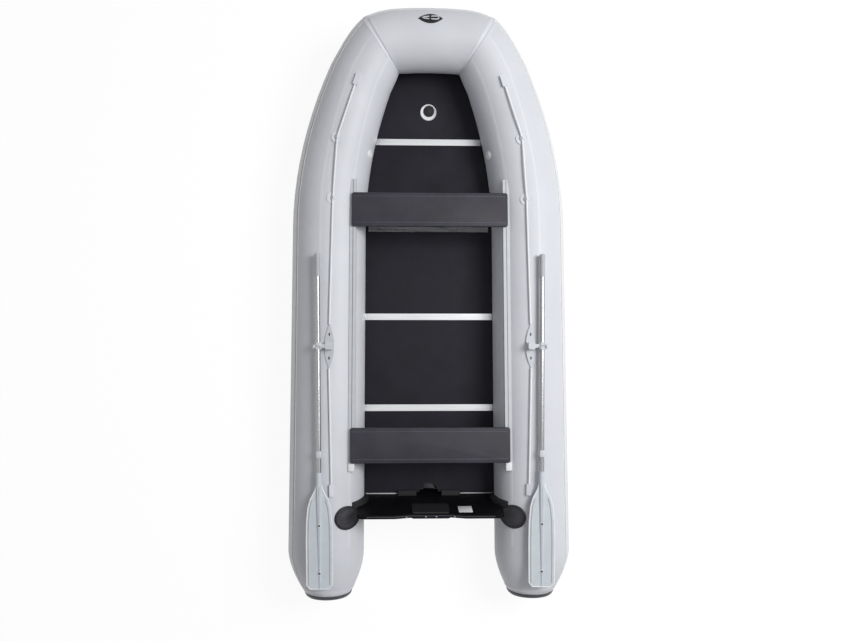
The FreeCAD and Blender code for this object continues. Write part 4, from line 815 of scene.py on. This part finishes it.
class BOAT_OT_seats(bpy.types.Operator):
    """Builds the seat boards, with lighter strips painted as the highlight on their rolled long edges, and finishes
    their rails and hooks, with a dark strip painted as the shade in each rail's groove
    """
    bl_idname = "boat.seats"
    bl_label = "Seats"

    def execute(self, context):
        deck = context.scene.boat_deck
        top = deck.seat_bottom + deck.seat_thickness
        for name, y in (("front", deck.front_seat_y), ("rear", deck.rear_seat_y)):
            def board(bm):
                half = Vector((deck.seat_half, deck.seat_width / 2, 0))
                middle = Vector((0, y, deck.seat_bottom))
                block(bm, middle - half, middle + half + UP * deck.seat_thickness)
                upright = [edge for edge in bm.edges if abs(edge.verts[0].co.z - edge.verts[1].co.z) > NEAR * 10]
                rounded(bm, upright, 0.016, 6)
                rim = [edge for edge in bm.edges if all(abs(vert.co.z - top) < NEAR for vert in edge.verts)]
                rounded(bm, rim, 0.006, 4)
                low_rim = [edge for edge in bm.edges
                           if all(vert.co.z < deck.seat_bottom + NEAR for vert in edge.verts)]
                rounded(bm, low_rim, 0.003, 3)

            # Lighter strips painted as the highlight along the board's rolled long edges
            def lines(bm):
                for side in (-1, 1):
                    line = y + side * (deck.seat_width / 2 - 0.026)
                    block(bm, (-deck.seat_half + 0.012, line - 0.0016, top - 0.002),
                          (deck.seat_half - 0.012, line + 0.0016, top + 0.0005), 0.0004, 2)

            body = f"seat_{name}"
            single(board, f"{name}_seat", body, "seat_board", "seat", [f"seat_{name}_board"], crease=40)
            single(lines, f"{name}_seat_lines", body, "seat_board", "seat_edge_highlight", crease=40)
        dress("plastic", "seat_front_hooks", "seat_rear_hooks")
        dress("rail", "seat_rails")

        # A dark strip painted along the rail where its groove lies in shade
        def rail_shade_line(bm):
            block(bm, (0.5025, -1.119, 0.43), (0.5065, 0.777, 0.43612))

        def rail_end(bm):
            block(bm, (0.486, -1.122, 0.4362), (0.523, -1.0705, 0.4414), 0.0018, 3)

        both_sides(rail_shade_line, "rail_shade_line", "hull", "rail_plastic", "strake_dark")
        both_sides(rail_end, "rail_end", "hull", "rail_plastic", "white")
        return {"FINISHED"}


TRANSOM_FOOT = Vector((0, -1.306, 0.062))
TRANSOM_RAKE = math.radians(8.2)
# Distances across the boat and up the raked board
SCREWS = ((-0.1527, 0.4762), (-0.0313, 0.47), (0.0341, 0.47), (0.1495, 0.4755))
TOP_EDGE = ((-0.4, 0.491), (-0.223, 0.491), (-0.125, 0.469), (0.125, 0.469), (0.223, 0.491), (0.4, 0.491))
HOLDER_PAD = Vector((0.531, -1.412))
ARM_Y = -1.3442
ARM_STEPS = 44
ARM_START = 46  # degrees from the tube's top towards the inside of the boat
ARM_TURN = 72
ARM_SECTION = ((-1, 0), (-1, 0.62), (-0.93, 0.85), (-0.75, 1), (0.75, 1), (0.93, 0.85), (1, 0.62), (1, 0))
RIB_DEPTH = 0.0028


class BOAT_OT_transom(bpy.types.Operator):
    """Finishes the transom, and builds its holders, screws, trims and blank plate"""
    bl_idname = "boat.transom"
    bl_label = "Transom"

    def execute(self, context):
        hull = context.scene.boat_hull
        dress("transom", "transom_board")
        dress("pad", "motor_pad_inner", "motor_pad_outer")
        dress("rubber", "transom_chocks")
        rake = Matrix.Translation(TRANSOM_FOOT) @ Matrix.Rotation(TRANSOM_RAKE, 4, "X")

        def screws(bm):
            for x, along in SCREWS:
                spun(bm, [(0, -0.002), (0.0042, -0.002), (0.0042, 0.0006), (0.003, 0.0014), (0, 0.0014)],
                     rake @ Matrix.Translation((x, -0.017, along)), 20)

        def plate(bm):
            block(bm, (0.177, -0.002, 0.33), (0.265, 0.0013, 0.446), 0.001, 2, rake)

        def top_trim(bm):
            rod(bm, [rake @ Vector((x, -0.0125, along)) for x, along in TOP_EDGE], 0.0042)

        def foot_trim(bm):
            block(bm, (0.212, -1.3135, 0.12), (0.452, -1.3065, 0.136), 0.002, 3)
            reach = hull.tube_radius + 0.002
            points = []
            for angle in range(-27, 25, 4):
                turn = math.radians(angle)
                z = hull.tube_radius + reach * math.sin(turn)
                points.append((hull.tube_offset - reach * math.cos(turn), -1.298 - 0.144 * (z - TRANSOM_FOOT.z), z))
            rod(bm, points, 0.005)

        def arm(bm):
            places = []
            for step in range(ARM_STEPS + 1):
                share = step / ARM_STEPS
                turn = math.radians(ARM_START + ARM_TURN * share)
                depth = 0.014 + 0.02 * min(1, share * 2.4) * min(1, (1 - share) * 6 + 0.2)
                depth -= RIB_DEPTH * (step % 2)
                half = 0.024 + 0.017 * min(1, share * 2.2)
                out = Vector((-math.sin(turn), 0, math.cos(turn)))
                along = Vector((-math.cos(turn), 0, -math.sin(turn)))
                foot = Vector((hull.tube_offset, ARM_Y, hull.tube_radius)) + out * (hull.tube_radius + SUNK)
                turned = Matrix((Vector((0, half, 0)), out * depth, along)).transposed().to_4x4()
                places.append(Matrix.Translation(foot) @ turned)
            loft(bm, outline(bm, ARM_SECTION), places)

        def laid(bm, profile):
            """A turned shape that follows the tube's curve."""
            spun(bm, profile, Matrix(), 72)
            for vert in bm.verts:
                point, normal = on_tube(hull, HOLDER_PAD.x + vert.co.x, HOLDER_PAD.y + vert.co.y)
                vert.co = point + normal * vert.co.z

        def pad_rim(bm):
            laid(bm, [(0.0605, -0.004), (0.0605, 0.0085), (0.063, 0.0105), (0.0705, 0.0098), (0.0738, 0.0065),
                      (0.074, -0.004), (0.0605, -0.004)])

        def pad_face(bm):
            laid(bm, [(0, -0.004), (0.061, -0.004), (0.061, 0.0075), (0.052, 0.0078), (0.05, 0.0068), (0.046, 0.0068),
                      (0.044, 0.008), (0, 0.0085)])

        single(screws, "transom_screws", "hull", "transom_wood", "white")
        single(plate, "blank_plate", "hull", "transom_wood", "white")
        single(top_trim, "transom_top_trim", "hull", "transom_wood", "pad_face")
        both_sides(foot_trim, "transom_foot_trim", "hull", "tube_fabric", "rail")
        both_sides(arm, "holder_arm", "hull", "holder_rubber", "rubber", crease=20)
        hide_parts("transom_holders")
        both_sides(pad_rim, "holder_pad_rim", "hull", "holder_rubber", "rubber", crease=40)
        both_sides(pad_face, "holder_pad_face", "hull", "holder_rubber", "pad_face", crease=40)
        return {"FINISHED"}


ROWLOCK = Matrix.Translation((0.714, -0.326, 0.52))  # where the oar's axis crosses its pivot
OAR_STOWED = math.radians(-1.03)
STRAP_TURN = math.radians(24)


class BOAT_OT_rowlocks(bpy.types.Operator):
    """Finishes the rowlocks, and builds their straps, their knobs and dark strips painted as the shade in their slots
    """
    bl_idname = "boat.rowlocks"
    bl_label = "Rowlocks"

    def execute(self, context):
        dress("rail", "rowlock_bases")
        dress("plastic", "rowlock_swivel_port", "rowlock_swivel_starboard")

        # Dark strips painted as the shade in the slots where the rope enters
        def slots(bm):
            for y in (-0.402, -0.25):
                block(bm, (0.6425, y - 0.009, 0.484), (0.6515, y + 0.009, 0.4866), 0.0008, 2)

        def knob(bm):
            spun(bm, [(0, 0), (0.0085, 0), (0.0085, 0.006), (0.0125, 0.008), (0.0125, 0.015), (0.0105, 0.018),
                      (0, 0.0185)], toward((0.733, -0.331, 0.53), (0.75, 0, 0.66)), 32)

        def strap(bm):
            block(bm, (-0.0245, -0.0055, 0.0205), (0.0245, 0.0055, 0.0238), 0.001, 2,
                  ROWLOCK @ Matrix.Rotation(STRAP_TURN, 4, "Z"))

        both_sides(slots, "rowlock_slot_shade", "hull", "rowlock_plastic", "rubber")
        both_sides(knob, "rowlock_knob", "oar_{}", "rowlock_plastic", "plastic")
        both_sides(strap, "rowlock_strap", "oar_{}", "rowlock_plastic", "grip")
        return {"FINISHED"}


# The oar lies along y, its pivot at the origin
GRIP_START = 0.445
GRIP_RINGS = 9
GRIP_RADIUS = 0.0175
COUPLING_Y = -0.68
BLADE_START = -0.87
BLADE_LENGTH = 0.628
BLADE_HALF = 0.0835
# Shares of the blade's length and half width
BLADE_EDGE = (
    (0.0, 0.24), (0.05, 0.34), (0.14, 0.7), (0.22, 0.87), (0.36, 0.97), (0.55, 1.0), (0.96, 0.98), (1.0, 0.74),
)
# Share of the blade's length and height of its middle rib there
BLADE_HOLES = ((0.39, 0.0124), (0.85, 0.0067))
# Points of a grey strip painted along the middle rib as its shaded side
BLADE_RIB = ((0, -0.88, 0.0174), (0, -1.09, 0.013), (0, -1.3, 0.0089), (0, -1.49, 0.0051))


def blade_edge(inset, level, shares=BLADE_EDGE):
    """One side of the blade's outline, a little way inside it."""
    return [(BLADE_HALF * width - inset, BLADE_START - BLADE_LENGTH * along, level) for along, width in shares]


def opposite(points):
    return [(-x, y, z) for x, y, z in points]


def on_blade(bm, profile, steps):
    """A turned shape at each of the blade's holes."""
    for along, level in BLADE_HOLES:
        spun(bm, profile, Matrix.Translation((0, BLADE_START - BLADE_LENGTH * along, level)), steps)


class BOAT_OT_oars(bpy.types.Operator):
    """Finishes the oars, and builds their grips and couplings, the blades' rims, whose whiter finish is partly a
    painted highlight, grey lines painted as the shade beside the ribs and along the middle rib, and dark discs painted
    as the shade in the holes
    """
    bl_idname = "boat.oars"
    bl_label = "Oars"

    def execute(self, context):
        laid = ROWLOCK @ Matrix.Rotation(OAR_STOWED, 4, "Z")

        def grip(bm):
            profile = [(0, 0), (0.0172, 0), (GRIP_RADIUS, 0.003)]
            for step in range(GRIP_RINGS):
                foot = 0.012 + 0.0125 * step
                profile += [(GRIP_RADIUS, foot), (0.0162, foot + 0.0012), (0.0162, foot + 0.0034),
                            (GRIP_RADIUS, foot + 0.0046)]
            profile += [(0.0176, 0.128), (0.0194, 0.133), (0.0194, 0.139), (GRIP_RADIUS, 0.145), (0.0145, 0.148),
                        (0, 0.148)]
            spun(bm, profile, toward((0, GRIP_START, 0), (0, 1, 0)), 40)

        def coupling(bm):
            block(bm, (-0.018, COUPLING_Y - 0.023, -0.018), (0.018, COUPLING_Y + 0.023, 0.018), 0.0085, 4)
            for side in (-1, 1):
                spun(bm, [(0, 0), (0.0065, 0), (0.0065, 0.022), (0.005, 0.025), (0, 0.025)],
                     toward((0, COUPLING_Y, 0), (side, 0, 0)), 24)

        # The rim's whiter finish is partly a painted highlight along the blade's edge
        def rim(bm):
            side = blade_edge(0.003, 0)
            rod(bm, side + opposite(reversed(side)), 0.0044, 10, closed=True)

        # Grey strips painted as the shade in the grooves beside the edge ribs and on the middle rib's shaded side
        def lines(bm):
            side = blade_edge(0.0169, 0.0056, BLADE_EDGE[2:-1])
            rod(bm, side, 0.0017, 8)
            rod(bm, opposite(side), 0.0017, 8)
            rod(bm, BLADE_RIB, 0.0016, 8)

        def rings(bm):
            on_blade(bm, [(0.0072, -0.006), (0.0072, 0.0016), (0.0082, 0.0024), (0.0095, 0.0018), (0.0105, -0.006),
                          (0.0072, -0.006)], 32)

        # Black discs painted as the shade seen in the blade's holes
        def holes(bm):
            on_blade(bm, [(0, -0.004), (0.0078, -0.004), (0.0078, 0.0016), (0, 0.0014)], 24)

        for build, name, slot, finish, nodes, crease in (
                (grip, "oar_grip", "grip_plastic", "grip", ["oar_fittings_{}"], 30),
                (coupling, "oar_coupling", "grip_plastic", "plastic", [], 40),
                (rim, "blade_rim_and_highlight", "blade_plastic", "blade_rim_and_highlight", [], 50),
                (lines, "blade_shade_lines", "blade_plastic", "grip", [], 50),
                (rings, "blade_rings", "blade_plastic", "blade_rim_and_highlight", [], 40),
                (holes, "blade_hole_shade", "blade_plastic", "rubber", [], 40)):
            def stowed(bm):
                build(bm)
                bmesh.ops.transform(bm, matrix=laid, verts=bm.verts)

            both_sides(stowed, name, "oar_{}", slot, finish, nodes, crease=crease)
        for side in ("port", "starboard"):
            dress("shaft", f"oar_shaft_{side}")
            dress("blade", f"oar_blade_{side}")
        return {"FINISHED"}


# Where each starboard rope starts, passes its guides and ends
FORE_ROPE = ((0.490, 1.372, 0.55313), (0.606, 1.041, 0.50466), (0.6325, 0.640, 0.48726), (0.647, -0.185, 0.48909))
AFT_ROPE = ((0.647, -0.467, 0.48909), (0.625, -1.198, 0.48565))
ROPE_BEND = 6  # diameters on each side of a guide


def rope_points(route, beside):
    """A route's points, with one more on each side of every bend."""
    points = [Vector(point) for point in route]
    spread = points[:1]
    for before, corner, after in zip(points, points[1:], points[2:]):
        spread += [corner + (before - corner).normalized() * beside, corner,
                   corner + (after - corner).normalized() * beside]
    spread += points[-1:]
    if len(spread) == 2:
        spread.insert(1, (spread[0] + spread[1]) / 2)
    return spread


class BOAT_OT_lifelines(bpy.types.Operator):
    """Strings the four lifelines through their guides"""
    bl_idname = "boat.lifelines"
    bl_label = "Lifelines"

    def execute(self, context):
        diameter = context.scene.boat_deck.rope_diameter
        first = True
        for name, route in (("fore", FORE_ROPE), ("aft", AFT_ROPE)):
            spread = rope_points(route, ROPE_BEND * diameter)
            for label, side in (("starboard", 1), ("port", -1)):
                line = bpy.data.curves.new(f"lifeline_{name}_{label}", "CURVE")
                line.dimensions = "3D"
                line.bevel_depth = diameter / 2
                line.bevel_resolution = 4
                line.use_fill_caps = True
                spline = line.splines.new("NURBS")
                spline.points.add(len(spread) - 1)
                for place, point in zip(spline.points, spread):
                    place.co = (point.x * side, point.y, point.z, 1)
                spline.order_u = 3
                spline.use_endpoint_u = True
                spline.resolution_u = 12
                line.materials.append(finishes["rope"])
                rope = bpy.data.objects.new(line.name, line)
                context.scene.collection.objects.link(rope)
                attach(rope, "hull")
                if first:
                    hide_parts("lifelines")
                    first = False
        return {"FINISHED"}


class BOAT_OT_rope_fittings(bpy.types.Operator):
    """Finishes the rope's guides and end tabs"""
    bl_idname = "boat.rope_fittings"
    bl_label = "Rope fittings"

    def execute(self, context):
        dress("tape", "rope_fittings")
        return {"FINISHED"}


HANDLE_TILT = math.radians(-16)
# Share of the foot's outline and height above the bow tube's middle
HANDLE_FOOT = ((1.0, 0.192), (1.0, 0.2065), (0.975, 0.2085), (0.9, 0.2092))
HANDLE_LOOP = (
    (-0.053, 0.0), (-0.04, 0.006), (-0.015, 0.009), (0.015, 0.0115), (0.036, 0.0125), (0.049, 0.01), (0.053, 0.003),
    (0.053, -0.003), (0.049, -0.01), (0.036, -0.0125), (0.015, -0.0115), (-0.015, -0.009), (-0.04, -0.006),
)
TUBE_VALVE = (0.402, 0.979)


class BOAT_OT_fittings(bpy.types.Operator):
    """Builds the bow handle and the tube valves, and finishes the drain plug and towing eyes"""
    bl_idname = "boat.fittings"
    bl_label = "Small fittings"

    def execute(self, context):
        hull = context.scene.boat_hull
        crown = Matrix.Translation(bow_station(hull, 0)[0]) @ Matrix.Rotation(HANDLE_TILT, 4, "X")

        def foot(bm):
            shares = [step / 12 for step in range(-12, 13)]
            lens = [(0.079 * share, 0.035 * (1 - share ** 2)) for share in shares]
            lens += [(-x, -y) for x, y in lens[1:-1]]
            loft(bm, outline(bm, lens), [crown @ Matrix.Translation((0, 0, high)) @ Matrix.Diagonal((wide, wide, 1, 1))
                                         for wide, high in HANDLE_FOOT])
            block(bm, (-0.006, -0.02, 0.206), (0.004, 0.02, 0.2205), 0.0025, 3, crown)

        def loop(bm):
            points = [crown @ Vector((x, y, 0.2125)) for x, y in HANDLE_LOOP]
            rod(bm, points, 0.0042, 12, crown.col[2].to_3d(), closed=True)

        def valve(bm):
            point, normal = on_tube(hull, *TUBE_VALVE)
            spun(bm, [(0, -0.008), (0.032, -0.008), (0.032, 0.001), (0.0295, 0.0032), (0.0215, 0.0038), (0.0205, 0.007),
                      (0.018, 0.008), (0.0165, 0.006), (0.008, 0.006), (0.007, 0.0078), (0, 0.008)],
                 toward(point, normal), 48)

        single(foot, "handle_foot", "hull", "fitting_rubber", "rubber", ["bow_handle"])
        single(loop, "handle_loop", "hull", "fitting_rubber", "plastic")
        both_sides(valve, "tube_valve", "hull", "valve_plastic", "white")
        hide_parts("tube_valves")
        dress("rubber", "drain_plug")
        dress("steel", "towing_eyes")
        return {"FINISHED"}


FLOOR_SIZE = 30
FLOOR_Z = -0.002
FLOOR_GREY = 0.86
FLOOR_GLOW = 1.06
FLOOR_GLOW_SHARE = 0.86
SKY_SEEN = 1.0
SKY_LIGHT = 0.32
LAMP_WATTS = 340
LAMP_SIZE = 3.0
LAMP_PLACE = (3.8, 0.9, 5.95)
LAMP_AIM = Vector((0, 0, 0.3))
# The photograph's camera
PHOTO_WIDTH = 854
FOCAL_PIXELS = 702.585
SENSOR_WIDTH = 36
CAMERA_PLACE = (-0.16289, -0.52793, 4.98729)
CAMERA_TURN = ((-0.03133, "Y"), (0.0814, "X"), (-0.00153, "Z"))


def background_strength(owner, seen, unseen):
    """White where the camera or a reflection looks, and a plain level for the light on the object."""
    path = add_node(owner, "ShaderNodeLightPath")
    total = path.outputs["Is Camera Ray"]
    for ray in ("Is Glossy Ray", "Is Transmission Ray"):
        total = combine(owner, total, path.outputs[ray], "MAXIMUM")
    return span(owner, total, unseen, seen)


class BOAT_OT_stage(bpy.types.Operator):
    """Sets the floor, the lamps, the world and the camera"""
    bl_idname = "boat.stage"
    bl_label = "Stage"

    def execute(self, context):
        scene = context.scene
        bm = bmesh.new()
        bmesh.ops.create_grid(bm, x_segments=1, y_segments=1, size=FLOOR_SIZE)
        mesh = bpy.data.meshes.new("studio_floor")
        bm.to_mesh(mesh)
        bm.free()
        floor = bpy.data.objects.new("studio_floor", mesh)
        floor.location = (0, 0, FLOOR_Z)
        scene.collection.objects.link(floor)
        paint = bpy.data.materials.new("studio_white")
        paint.use_nodes = True
        paint.node_tree.nodes.clear()
        diffuse = add_node(paint, "ShaderNodeBsdfDiffuse")
        diffuse.inputs["Color"].default_value = (FLOOR_GREY, FLOOR_GREY, FLOOR_GREY, 1)
        glow = add_node(paint, "ShaderNodeEmission")
        glow.inputs["Strength"].default_value = FLOOR_GLOW
        mixed = add_node(paint, "ShaderNodeMixShader")
        output = add_node(paint, "ShaderNodeOutputMaterial")
        link(paint, background_strength(paint, FLOOR_GLOW_SHARE, 0), mixed.inputs["Fac"])
        link(paint, diffuse.outputs["BSDF"], mixed.inputs[1])
        link(paint, glow.outputs["Emission"], mixed.inputs[2])
        link(paint, mixed.outputs["Shader"], output.inputs["Surface"])
        mesh.materials.append(paint)

        world = bpy.data.worlds.new("studio")
        scene.world = world
        world.use_nodes = True
        sky = world.node_tree.nodes["Background"]
        sky.inputs["Color"].default_value = (1, 1, 1, 1)
        link(world, background_strength(world, SKY_SEEN, SKY_LIGHT), sky.inputs["Strength"])

        lamp = bpy.data.lights.new("key_lamp", "AREA")
        lamp.shape = "SQUARE"
        lamp.size = LAMP_SIZE
        lamp.energy = LAMP_WATTS
        stand = bpy.data.objects.new("key_lamp", lamp)
        stand.location = LAMP_PLACE
        stand.rotation_euler = (LAMP_AIM - stand.location).to_track_quat("-Z", "Y").to_euler()
        stand.visible_camera = False
        scene.collection.objects.link(stand)

        camera = bpy.data.objects.new("camera", bpy.data.cameras.new("camera"))
        camera.data.sensor_width = SENSOR_WIDTH
        camera.data.lens = FOCAL_PIXELS * SENSOR_WIDTH / PHOTO_WIDTH
        place = Matrix.Translation(CAMERA_PLACE)
        for angle, axis in CAMERA_TURN:
            place = place @ Matrix.Rotation(angle, 4, axis)
        camera.matrix_world = place
        scene.collection.objects.link(camera)
        scene.camera = camera
        scene.view_settings.view_transform = "Standard"
        return {"FINISHED"}


class BOAT_PT_panel(bpy.types.Panel):
    """Lists the boat's pieces"""
    bl_idname = "BOAT_PT_panel"
    bl_label = "Inflatable Boat"
    bl_space_type = "VIEW_3D"
    bl_region_type = "UI"
    bl_category = "Boat"

    def draw(self, context):
        for operator in OPERATORS:
            self.layout.operator(operator.bl_idname)


GROUPS = {"boat_hull": BoatHull, "boat_deck": BoatDeck, "boat_finish": BoatFinish}
OPERATORS = [
    BOAT_OT_finishes, BOAT_OT_lifelines, BOAT_OT_tubes, BOAT_OT_end_caps, BOAT_OT_strakes, BOAT_OT_bottom,
    BOAT_OT_floor, BOAT_OT_seats, BOAT_OT_transom, BOAT_OT_rowlocks, BOAT_OT_oars, BOAT_OT_rope_fittings,
    BOAT_OT_fittings, BOAT_OT_stage,
]


def register():
    for item in [*GROUPS.values(), *OPERATORS, BOAT_PT_panel]:
        bpy.utils.register_class(item)
    for name, group in GROUPS.items():
        setattr(bpy.types.Scene, name, PointerProperty(type=group))


def unregister():
    for name in GROUPS:
        delattr(bpy.types.Scene, name)
    for item in reversed([*GROUPS.values(), *OPERATORS, BOAT_PT_panel]):
        bpy.utils.unregister_class(item)


def main():
    register()
    for operator in OPERATORS:
        family, name = operator.bl_idname.split(".")
        getattr(getattr(bpy.ops, family), name)()


if __name__ == "__main__":
    main()
